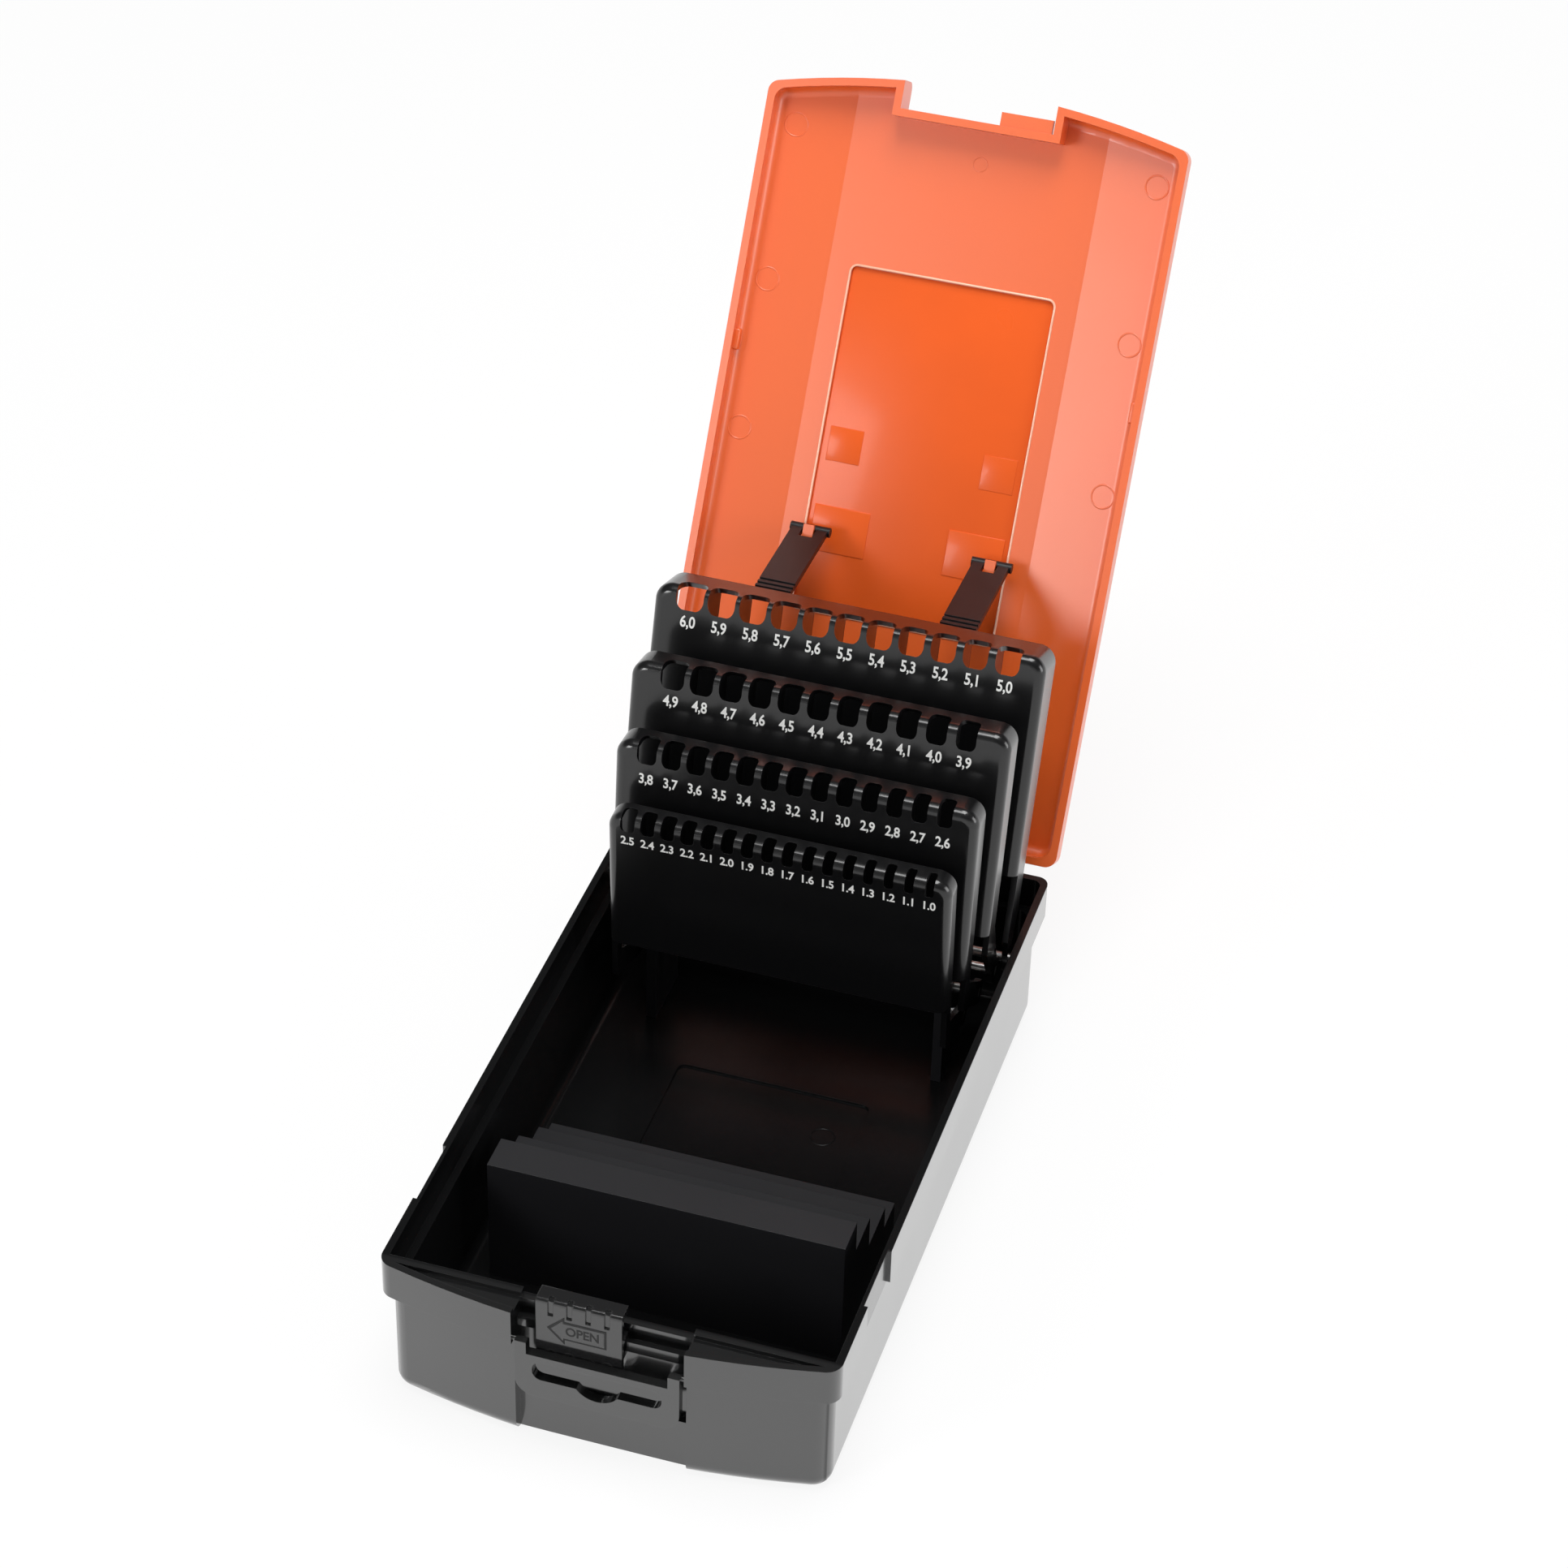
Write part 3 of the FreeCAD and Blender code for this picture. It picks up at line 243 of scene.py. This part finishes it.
def moulded(name, colour, gloss, grain=0.35, depth=0.012, coat=0.0, round_by=0.2, deep=None,
            skin=0.12, bend=1.5, glint=0.5):
    """Plastic with a colour and roughness of its own, and a clear coat over it.

    The grain, its depth and the rounding of edges are in millimetres. The coat has its own
    roughness, skin, and its refractive index, bend. The glint is the gloss of the plastic itself.
    """
    finish = bpy.data.materials.new(name)
    finish.use_nodes = True
    tree = finish.node_tree
    shader = tree.nodes["Principled BSDF"]
    shader.inputs["Base Color"].default_value = (*colour, 1)
    shader.inputs["Roughness"].default_value = gloss
    shader.inputs["Coat Weight"].default_value = coat
    shader.inputs["Coat Roughness"].default_value = skin
    shader.inputs["Coat IOR"].default_value = bend
    shader.inputs["Specular IOR Level"].default_value = glint
    place = tree.nodes.new("ShaderNodeTexCoord").outputs["Object"]
    fine = node_of(tree, "ShaderNodeTexNoise", place, Scale=1 / (grain * MM), Detail=2.0)
    rounded = node_of(tree, "ShaderNodeBevel", round_by * MM)
    rounded.samples = BEVEL_SAMPLES
    bump = node_of(tree, "ShaderNodeBump", Strength=1.0, Distance=depth * MM,
                   Height=fine.outputs["Fac"], Normal=rounded.outputs[0])
    tree.links.new(bump.outputs[0], shader.inputs["Normal"])
    handled = node_of(tree, "ShaderNodeTexNoise", place, Scale=HANDLING_SCALE, Detail=3.0)
    worn = ramp(tree, handled.outputs["Fac"], 0.0, 1.0, gloss - GLOSS_CHANGE, gloss + GLOSS_CHANGE)
    tree.links.new(worn, shader.inputs["Roughness"])
    tint = tree.nodes.new("ShaderNodeMix")
    tint.data_type = "RGBA"
    tint.inputs["A"].default_value = (*colour, 1)
    tint.inputs["B"].default_value = (*(deep or [part * DARKER for part in colour]), 1)
    tree.links.new(handled.outputs["Fac"], tint.inputs["Factor"])
    tree.links.new(tint.outputs["Result"], shader.inputs["Base Color"])
    print(name, "has", len(tree.nodes), "nodes")
    return finish


def dress(names, finish):
    """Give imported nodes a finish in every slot."""
    for name in names:
        item = nodes[name]
        if not item.material_slots:
            item.data.materials.append(finish)
        for slot in item.material_slots:
            slot.material = finish


# %% [markdown]
# ## The tub
#
# The tub is one moulding, glossy outside and dull inside, where its mould was left
# rougher. One material can do both, if the weight of its clear coat depends on the
# place. Four ramps over the coordinates, multiplied together, are one inside the tub
# and zero outside it. Each ramp turns over in the middle of a wall, where it can't be
# seen. The rim band stands further out than the lower wall, so the ramps for width and
# length move out by one step at its foot, and by another at the rim, whose flat top is
# dull as the inside is.

# %% Dress the tub
WALL_MIDDLE = (52.3, 52.0)
REAR_MIDDLE = (181.0, 180.5)
FRONT_MIDDLE = (2.0, 2.8)
FLOOR_MIDDLE = (0.5, 1.0)
# Where each step lies in height, and by how much it moves outwards.
BAND_STEP = (30.6, 31.0, 1.9)
RIM_STEP = (40.6, 40.9, 4.0)


def inside_of_tub(tree, place):
    """One inside the tub and on its rim, and zero on its outer walls."""
    parts = node_of(tree, "ShaderNodeSeparateXYZ", place)
    across = reckon(tree, "ABSOLUTE", parts.outputs["X"])
    steps = [ramp(tree, parts.outputs["Z"], low * MM, high * MM, 0.0, out * MM)
             for low, high, out in (BAND_STEP, RIM_STEP)]
    outward = reckon(tree, "ADD", *steps)
    gates = ((reckon(tree, "SUBTRACT", across, outward), WALL_MIDDLE),
             (reckon(tree, "SUBTRACT", parts.outputs["Y"], outward), REAR_MIDDLE),
             (parts.outputs["Y"], FRONT_MIDDLE),
             (parts.outputs["Z"], FLOOR_MIDDLE))
    inside = 1.0
    for measure, (low, high) in gates:
        inside = reckon(tree, "MULTIPLY", inside, ramp(tree, measure, low * MM, high * MM))
    return inside


tub_black = moulded("tub_plastic", (0.0045, 0.0047, 0.0050), 0.24, depth=0.004, coat=1.0, bend=1.85,
                    glint=0.3)
tree = tub_black.node_tree
place = tree.nodes["Texture Coordinate"].outputs["Object"]
coat = reckon(tree, "SUBTRACT", 1.0, inside_of_tub(tree, place))
tree.links.new(coat, tree.nodes["Principled BSDF"].inputs["Coat Weight"])
dress(["base_tub"], tub_black)

# %% [markdown]
# ## The inserts, rows and straps
#
# All of these are black, but not the same black. The stepped stop and the bearing
# plates are matt and a little blue. The rows are darker, with a thin gloss that
# brings out their rounded edges. The straps are brownish black, because they are made
# of the softer plastic that bends at each fold without breaking.

# %% Dress the inserts, rows and straps
insert_black = moulded("insert_plastic", (0.011, 0.011, 0.013), 0.45)
row_black = moulded("row_plastic", (0.0042, 0.0042, 0.0046), 0.34, grain=0.3, depth=0.008, coat=0.7,
                    skin=0.16, bend=1.6, glint=0.2)
strap_black = moulded("strap_plastic", (0.008, 0.007, 0.008), 0.36, glint=0.35)
dress(["drill_stop", "bearing_plate_left", "bearing_plate_right"], insert_black)
dress([name for name in nodes if name.startswith("row_shell")], row_black)
dress(["strap_left", "strap_right"], strap_black)

# %% [markdown]
# ## The slider and the handle
#
# Fingers rub these two smooth, so they are the glossiest parts of the case. The slider
# has a wider rounding at its edges, which makes the small bright lines round its grip.

# %% Dress the slider and the handle
slider_black = moulded("slider_plastic", (0.009, 0.009, 0.0095), 0.16, depth=0.002, coat=1.0, skin=0.05,
                       round_by=0.45)
handle_black = moulded("handle_plastic", (0.007, 0.0073, 0.0073), 0.26, depth=0.004, coat=1.0, bend=1.7)
dress(["latch_slider"], slider_black)
dress(["carry_handle"], handle_black)

# %% [markdown]
# ## The lid
#
# The lid is orange-red with a satin grain. Its colour is written a little deeper than
# the photograph shows it, because the sheen of the grain adds white to it. The rough
# coat makes that sheen: a smooth one would show the lamps as sharp patches.

# %% Dress the lid
lid_orange = moulded("lid_plastic", (0.79, 0.122, 0.014), 0.36, grain=0.42, depth=0.012, coat=0.8,
                     deep=(0.76, 0.108, 0.012), skin=0.35, bend=1.65)
dress(["lid"], lid_orange)

# %% [markdown]
# ## Steel axles
#
# The pins and axles are drawn steel wire. Drawing leaves hair-fine lines along the
# wire, so the noise is stretched along X until it turns into streaks.

# %% Dress the axles
STEEL_COLOUR = (0.58, 0.58, 0.57, 1)
ALONG_WIRE, ACROSS_WIRE = 60, 4000
SMOOTHEST, ROUGHEST = 0.22, 0.42

steel = bpy.data.materials.new("axle_steel")
steel.use_nodes = True
tree = steel.node_tree
shader = tree.nodes["Principled BSDF"]
shader.inputs["Base Color"].default_value = STEEL_COLOUR
shader.inputs["Metallic"].default_value = 1.0
place = tree.nodes.new("ShaderNodeTexCoord").outputs["Object"]
stretch = node_of(tree, "ShaderNodeMapping", place, Scale=(ALONG_WIRE, ACROSS_WIRE, ACROSS_WIRE))
streaks = node_of(tree, "ShaderNodeTexNoise", stretch.outputs[0], Scale=1.0, Detail=2.0)
brushed = ramp(tree, streaks.outputs["Fac"], 0.0, 1.0, SMOOTHEST, ROUGHEST)
tree.links.new(brushed, shader.inputs["Roughness"])
wires = [name for name in nodes if "axle" in name or "pin" in name]
dress(wires, steel)
print("steel:", wires)

# %% [markdown]
# ## Finding the surface
#
# Fine details sit on surfaces that lean and curve. Their places are found by
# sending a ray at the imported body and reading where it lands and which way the
# surface faces there, so no place has to be worked out twice.


# %% Find a place on a body
def land(name, start, direction):
    """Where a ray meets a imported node, and the surface's direction there."""
    hit, point, normal, _ = nodes[name].ray_cast(Vector(start), Vector(direction))
    if not hit:
        raise RuntimeError(f"the ray from {start} misses {name}")
    return point, normal


def stand(normal, upright):
    """A turn that lays X and Y on a surface and points Z out of it."""
    z = normal.normalized()
    x = Vector(upright).cross(z).normalized()
    return Matrix((x, z.cross(x), z)).transposed().to_4x4()


print("the tub's floor is at", round(land("base_tub", (0, 0.06, 0.03), (0, 0, -1))[0].z, 4))

# %% [markdown]
# ## Finishing a piece
#
# A new piece is made at the origin, where it is easy to shape, then put on its
# surface. Its place is then applied, so that it is kept in the mesh, as it is in the
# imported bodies. Small pieces of one kind are joined, and ride on the body they belong
# to.


# %% Place, join and finish pieces
def settle(piece, matrix):
    """Put a piece at its place and keep that place in its mesh."""
    piece.matrix_world = matrix
    bpy.ops.object.select_all(action="DESELECT")
    piece.select_set(True)
    bpy.context.view_layer.objects.active = piece
    bpy.ops.object.transform_apply(location=True, rotation=True, scale=True)
    return piece


def joined(pieces):
    """Make one piece of several."""
    bpy.ops.object.select_all(action="DESELECT")
    for piece in pieces:
        piece.select_set(True)
    bpy.context.view_layer.objects.active = pieces[0]
    bpy.ops.object.join()
    return pieces[0]


def finished(piece, name, finish, body):
    """Name a piece, give it its finish and let it ride on a body."""
    piece.name = name
    piece.data.materials.clear()
    piece.data.materials.append(finish)
    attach(piece, body)
    print(name, "has", len(piece.data.polygons), "faces")


def copy_of(piece):
    """A copy with a mesh of its own."""
    twin = piece.copy()
    twin.data = piece.data.copy()
    bpy.context.scene.collection.objects.link(twin)
    return twin


# %% [markdown]
# ## Printed sizes
#
# Each row carries the size of every bit in white, just below its window. They are
# hot-stamped, so they stand a few hundredths of a millimetre proud. A text object
# gives the shape of the figures; it is narrowed, made a little bolder, turned into a
# mesh and laid on the plate. Letters drawn as outlines by hand would take much longer
# and look no better at this size.

# %% Write figures
CAPITAL_SHARE = 0.729
LETTER_SPACING = 0.97
BOLD_SHARE = 0.028
STAMP_THICKNESS = 0.03


def figures(text, height, narrowing):
    """A line of text as a thin mesh, centred and facing +Z, with its height in millimetres."""
    bpy.ops.object.select_all(action="DESELECT")
    bpy.ops.object.text_add()
    line = bpy.context.object
    line.data.body = text
    line.data.align_x = "CENTER"
    line.data.align_y = "CENTER"
    line.data.size = height * MM / CAPITAL_SHARE
    line.data.space_character = LETTER_SPACING
    line.data.offset = height * MM * BOLD_SHARE
    line.data.extrude = STAMP_THICKNESS * MM
    line.data.resolution_u = 3
    bpy.ops.object.convert(target="MESH")
    line = bpy.context.object
    line.scale = (narrowing, 1, 1)
    bpy.ops.object.transform_apply(scale=True)
    return line


print("a capital of 3 mm needs text of size", round(3 / CAPITAL_SHARE, 2), "mm")

# %% [markdown]
# ## What each row is like
#
# The four rows differ in how many windows they have and how far apart these stand, and
# each leans back by its own angle. A small table of what can be counted and measured
# on a row serves all four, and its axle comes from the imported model. The front row
# marks its sizes with a point and the others with a comma.

# %% Describe the rows
# The pitch is from window to window, and the drop from a row's top down to its sizes.
# The height is that of a figure, the lean is in degrees, and the reach is from axle to top.
ROWS = {
    1: {"count": 11, "pitch": 8.2, "largest": 6.0, "drop": 8.95, "height": 3.1,
        "lean": 20.0, "reach": 82.3, "narrowing": 0.80, "mark": ","},
    2: {"count": 11, "pitch": 7.5, "largest": 4.9, "drop": 8.9, "height": 3.0,
        "lean": 13.0, "reach": 71.2, "narrowing": 0.80, "mark": ","},
    3: {"count": 13, "pitch": 6.3, "largest": 3.8, "drop": 9.6, "height": 2.9,
        "lean": 6.7, "reach": 63.6, "narrowing": 0.80, "mark": ","},
    4: {"count": 16, "pitch": 5.1, "largest": 2.5, "drop": 7.1, "height": 2.5,
        "lean": -1.5, "reach": 58.1, "narrowing": 0.88, "mark": "."},
}


def row_point(number, x, forward, high):
    """A point given beside a row's axle in millimetres, on the upright row."""
    turn = math.radians(ROWS[number]["lean"])
    axle = Vector(joints[f"row_{number}_fold"]["pos_m"])
    return axle + Vector((x, high * math.sin(turn) - forward * math.cos(turn),
                          high * math.cos(turn) + forward * math.sin(turn))) * MM


print("row 1 reaches", [round(c, 4) for c in row_point(1, 0, 0, ROWS[1]["reach"])])

# %% [markdown]
# ## Stamping the sizes
#
# The figures have to lie flat on the front of each plate. Rays are sent at it from the
# front: two between a pair of windows, one above the other, show how the plate leans,
# and one for each size finds its place. The figures of a row are joined into one
# piece, because they are stamped in one stroke and move as one.

# %% Stamp the sizes
IN_FRONT = 40
HALF_SPAN = 2
print_white = moulded("print_white", (0.88, 0.88, 0.86), 0.5, grain=0.2, depth=0.004,
                      round_by=0.03)

for number, row in ROWS.items():
    shell = f"row_shell_{number}"
    line_height = row["reach"] - row["drop"]
    inward = row_point(number, 0, 0, line_height) - row_point(number, 0, 10, line_height)
    between = row["pitch"] / 2
    over, _ = land(shell, row_point(number, between, IN_FRONT, line_height + HALF_SPAN), inward)
    under, _ = land(shell, row_point(number, between, IN_FRONT, line_height - HALF_SPAN), inward)
    upright = (over - under).normalized()
    turn = stand(Vector((0, -upright.z, upright.y)), upright)
    stamped = []
    for n in range(row["count"]):
        x = (n - (row["count"] - 1) / 2) * row["pitch"]
        point, _ = land(shell, row_point(number, x, IN_FRONT, line_height), inward)
        size = f"{row['largest'] - n / 10:.1f}".replace(".", row["mark"])
        line = figures(size, row["height"], row["narrowing"])
        stamped.append(settle(line, Matrix.Translation(point) @ turn))
    finished(joined(stamped), f"row_{number}_sizes", print_white, f"row_{number}")

# %% [markdown]
# ## Places on the lid
#
# The lid is drawn closed and shown open. Places on it are easier to give as on the
# closed lid: across, forward from its rear edge and up from the rim. Its hinge and the
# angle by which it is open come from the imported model, and turn each place with it.

# %% Write places on the lid
LID_HINGE = Vector(joints["lid_hinge"]["pos_m"])
LID_OPEN = -math.radians(joints["lid_hinge"]["range_deg"][1])
LID_OUTWARD = Vector((0, -math.sin(LID_OPEN), math.cos(LID_OPEN)))
LID_FORWARD = Vector((0, -math.cos(LID_OPEN), -math.sin(LID_OPEN)))
EDGE_FROM_HINGE = 2.0
RIM_OVER_HINGE = 1.1


def lid_place(x, forward, high):
    """A point of the open lid, given on the closed one in millimetres."""
    return LID_HINGE + (Vector((x, 0, 0)) + LID_FORWARD * (EDGE_FROM_HINGE + forward)
                        + LID_OUTWARD * (RIM_OVER_HINGE + high)) * MM


def on_lid(x, forward):
    """A place on the inner face of the roof, as a turn and shift."""
    point, normal = land("lid", lid_place(x, forward, 1.0), LID_OUTWARD)
    return Matrix.Translation(point) @ stand(normal, LID_FORWARD)


print("the roof's middle is at", [round(c, 4) for c in on_lid(0, 90).translation])

# %% [markdown]
# ## Rings from the ejector pins
#
# When the lid is still warm, round pins push it out of the mould, and each leaves a
# faint ring. A torus pressed flat to half its height gives that ring. It is modelled
# once, and every ring is a copy of it, six beside the walls and a smaller one at
# the front.

# %% Press the ejector rings
RING_RADIUS = 3.0
RING_LINE = 0.22
RING_FLATTENING = 0.5
RING_PLACES = ((47.5, 174), (48, 134), (48.5, 95.2))
SMALL_RING_PLACE = (1.5, 172)
SMALL_RING_SHARE = 0.6

bpy.ops.object.select_all(action="DESELECT")
bpy.ops.mesh.primitive_torus_add(major_radius=RING_RADIUS * MM, minor_radius=RING_LINE * MM,
                                 major_segments=48, minor_segments=8)
first_ring = bpy.context.object
bpy.ops.object.mode_set(mode="EDIT")
bpy.ops.mesh.select_all(action="SELECT")
bpy.ops.transform.resize(value=(1, 1, RING_FLATTENING))
bpy.ops.object.mode_set(mode="OBJECT")
bpy.ops.object.shade_smooth_by_angle(angle=math.radians(60))
rings = []
for across, forward in RING_PLACES:
    for side in (-1, 1):
        rings.append(settle(copy_of(first_ring), on_lid(side * across, forward)))
small_ring = on_lid(*SMALL_RING_PLACE) @ Matrix.Scale(SMALL_RING_SHARE, 4)
rings.append(settle(copy_of(first_ring), small_ring))
finished(joined(rings), "lid_ejector_rings", lid_orange, "lid")

# %% [markdown]
# ## Pads round the strap hooks
#
# Where the straps pull on the lid, low pads make its roof a little thicker. They are
# polished as the label field is. Each starts as a cube, is stretched in edit mode and
# has its edges bevelled, because a moulded edge is never sharp.

# %% Add the pads
HOOK_PAD_ACROSS, HOOK_PAD_FORWARD = 18.0, 73.5
NEXT_PAD_ACROSS, NEXT_PAD_FORWARD = 20.5, 95.5
polished_field = moulded("polished_field", (0.80, 0.112, 0.016), 0.30, grain=2.5, depth=0.003, coat=0.1,
                         skin=0.10, glint=0.2)


def pad(wide, high, thick, round_by):
    """A low plate with softened edges, modelled from a cube, in millimetres."""
    bpy.ops.object.select_all(action="DESELECT")
    bpy.ops.mesh.primitive_cube_add(size=1)
    bpy.ops.object.mode_set(mode="EDIT")
    bpy.ops.mesh.select_all(action="SELECT")
    bpy.ops.transform.resize(value=(wide * MM, high * MM, thick * MM))
    bpy.ops.mesh.bevel(offset=round_by * MM, segments=3)
    bpy.ops.object.mode_set(mode="OBJECT")
    bpy.ops.object.shade_smooth_by_angle(angle=math.radians(40))
    return bpy.context.object


pads = []
for side in (-1, 1):
    hook_pad = pad(wide=15.0, high=12.0, thick=0.7, round_by=0.2)
    pads.append(settle(hook_pad, on_lid(side * HOOK_PAD_ACROSS, HOOK_PAD_FORWARD)))
    next_pad = pad(wide=9.0, high=9.0, thick=0.5, round_by=0.12)
    pads.append(settle(next_pad, on_lid(side * NEXT_PAD_ACROSS, NEXT_PAD_FORWARD)))
finished(joined(pads), "lid_pads", polished_field, "lid")

# %% [markdown]
# ## Catches on the side walls
#
# One small bump on each side wall of the lid snaps under the rim of the tub. A ray sent
# sideways finds the wall, and the bump is set half into it.

# %% Add the catches
BUMP_FORWARD, BUMP_HIGH = 117.5, 3.4
BUMP_RAY_START = 45

bumps = []
for side in (-1, 1):
    point, normal = land("lid", lid_place(side * BUMP_RAY_START, BUMP_FORWARD, BUMP_HIGH), (side, 0, 0))
    bump = pad(wide=5.5, high=2.4, thick=2.6, round_by=0.5)
    bumps.append(settle(bump, Matrix.Translation(point) @ stand(normal, LID_OUTWARD)))
finished(joined(bumps), "lid_clip_bumps", lid_orange, "lid")

# %% [markdown]
# ## The edge of the label field
#
# The middle of the roof is sunk for a label. The edge of that field is polished and
# rounded. A thin wire along it is given a pale orange, a painted highlight that stands
# for the thin bright line where that edge catches the light. A plane is stretched to
# the field's outline and its corners are rounded. Its face is then deleted, so that the
# outline can become a curve, and the curve a thin wire along the edge.

# %% Round the edge of the label field
FIELD_WIDE = 54.0
FIELD_NEAR, FIELD_FAR = 52.0, 141.5
FIELD_LONG = FIELD_FAR - FIELD_NEAR
FIELD_MIDDLE = (FIELD_NEAR + FIELD_FAR) / 2
EDGE_MARGIN = 0.2
CORNER_ROUND = 1.9
EDGE_RADIUS = 0.32
ROOF_HIGH = 7.5
# The pale orange of this wire is a painted highlight: the bright line that light makes on the field's
# rounded edge.
painted_highlight_orange = moulded("painted_highlight_orange", (0.95, 0.50, 0.34), 0.15, depth=0.001, coat=1.0, skin=0.05)

bpy.ops.object.select_all(action="DESELECT")
bpy.ops.mesh.primitive_plane_add(size=1)
bpy.ops.object.mode_set(mode="EDIT")
bpy.ops.mesh.select_all(action="SELECT")
bpy.ops.transform.resize(value=((FIELD_WIDE + EDGE_MARGIN) * MM, (FIELD_LONG + EDGE_MARGIN) * MM, 1))
bpy.ops.mesh.bevel(offset=CORNER_ROUND * MM, segments=6, affect="VERTICES")
bpy.ops.mesh.delete(type="ONLY_FACE")
bpy.ops.object.mode_set(mode="OBJECT")
bpy.ops.object.convert(target="CURVE")
wire = bpy.context.object.data
wire.bevel_depth = EDGE_RADIUS * MM
wire.bevel_resolution = 2
bpy.ops.object.convert(target="MESH")
bpy.ops.object.shade_smooth_by_angle(angle=math.radians(60))
facing_in = stand(-LID_OUTWARD, LID_FORWARD)
edge = settle(bpy.context.object, Matrix.Translation(lid_place(0, FIELD_MIDDLE, ROOF_HIGH)) @ facing_in)
finished(edge, "label_field_edge", painted_highlight_orange, "lid")

# %% [markdown]
# ## The floor of the label field
#
# The floor of the field mirrors a dark part of the studio, so its orange looks deeper
# than the grained roof round it. A thin plate on the floor carries that other finish,
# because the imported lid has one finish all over.

# %% Polish the floor of the label field
PLATE_GAP = 0.7
PLATE_HIGH = 8.25

plate = pad(wide=FIELD_WIDE - PLATE_GAP, high=FIELD_LONG - PLATE_GAP, thick=0.2, round_by=0.05)
settle(plate, Matrix.Translation(lid_place(0, FIELD_MIDDLE, PLATE_HIGH)) @ facing_in)
finished(plate, "label_field_floor", polished_field, "lid")

# %% [markdown]
# ## The arrow on the slider
#
# The slider's face carries an arrow that points the way it opens, with a word in it.
# On the real slider both are cut into the mould as one low relief. Here a dark arrow
# shows as a thin border round a second one in the slider's own finish, and the word
# stands on that. The darker black of the border and of the word is painted shade, which
# stands for the shade in the cuts of the relief. Both arrows are drawn as flat curves and made meshes.

# %% Raise the arrow
ARROW_RAY_START = (-5.6, -30, 37.1)


def arrow_outline(tip, neck, tail, head, shaft):
    """Corners of an arrow that points to -X, with the half heights of its head and shaft."""
    upper = [(neck, head), (neck, shaft), (tail, shaft)]
    return [(tip, 0), *upper, *((x, -y) for x, y in reversed(upper))]


def flat_shape(corners, thick):
    """A thin plate with the given outline in millimetres."""
    curve = bpy.data.curves.new("outline", "CURVE")
    curve.dimensions = "2D"
    curve.fill_mode = "BOTH"
    curve.extrude = thick * MM / 2
    line = curve.splines.new("POLY")
    line.points.add(len(corners) - 1)
    for point, (x, y) in zip(line.points, corners):
        point.co = (x * MM, y * MM, 0, 1)
    line.use_cyclic_u = True
    shape = bpy.data.objects.new("outline", curve)
    bpy.context.scene.collection.objects.link(shape)
    bpy.ops.object.select_all(action="DESELECT")
    shape.select_set(True)
    bpy.context.view_layer.objects.active = shape
    bpy.ops.object.convert(target="MESH")
    return bpy.context.object


# The darker black of this plastic is painted shade: it stands for the shade in the cuts of the slider's
# relief.
painted_shade_black = moulded("painted_shade_plastic", (0.004, 0.004, 0.004), 0.5, depth=0.002)
arrow_at, _ = land("latch_slider", Vector(ARROW_RAY_START) * MM, (0, 1, 0))
facing = Matrix.Translation(arrow_at) @ stand(Vector((0, -1, 0)), (0, 0, 1))
border = arrow_outline(tip=-7.1, neck=-2.9, tail=7.1, head=4.2, shaft=2.8)
arrow = settle(flat_shape(border, 0.16), facing)
finished(arrow, "slider_arrow", painted_shade_black, "slider")
middle = arrow_outline(tip=-6.2, neck=-3.2, tail=6.6, head=3.1, shaft=2.3)
face = settle(flat_shape(middle, 0.24), facing)
finished(face, "slider_arrow_face", slider_black, "slider")

# %% [markdown]
# ## The word in the arrow
#
# The word stands behind the arrow's head, half sunk into its middle. It is made in the
# same way as the printed sizes, so the same helper serves.

# %% Write the word
WORD_HEIGHT = 2.7
WORD_NARROWING = 0.86
WORD_SHIFT = (1.4, 0, 0.12)

# The word takes the same painted shade as the arrow's border.
word = settle(figures("OPEN", WORD_HEIGHT, WORD_NARROWING),
              facing @ Matrix.Translation(Vector(WORD_SHIFT) * MM))
finished(word, "slider_word", painted_shade_black, "slider")

# %% [markdown]
# ## A mark in the floor of the tub
#
# One ejector pin has left its ring in the sunk field of the tub's floor. It is a copy
# of the ring that was modelled for the lid, which isn't needed after this.

# %% Press the ring in the floor
FLOOR_RING_ABOVE = (17, 114, 30)

point, normal = land("base_tub", Vector(FLOOR_RING_ABOVE) * MM, (0, 0, -1))
floor_ring = settle(copy_of(first_ring), Matrix.Translation(point) @ stand(normal, (0, 1, 0)))
finished(floor_ring, "floor_ejector_ring", tub_black, "case")
bpy.data.objects.remove(first_ring)
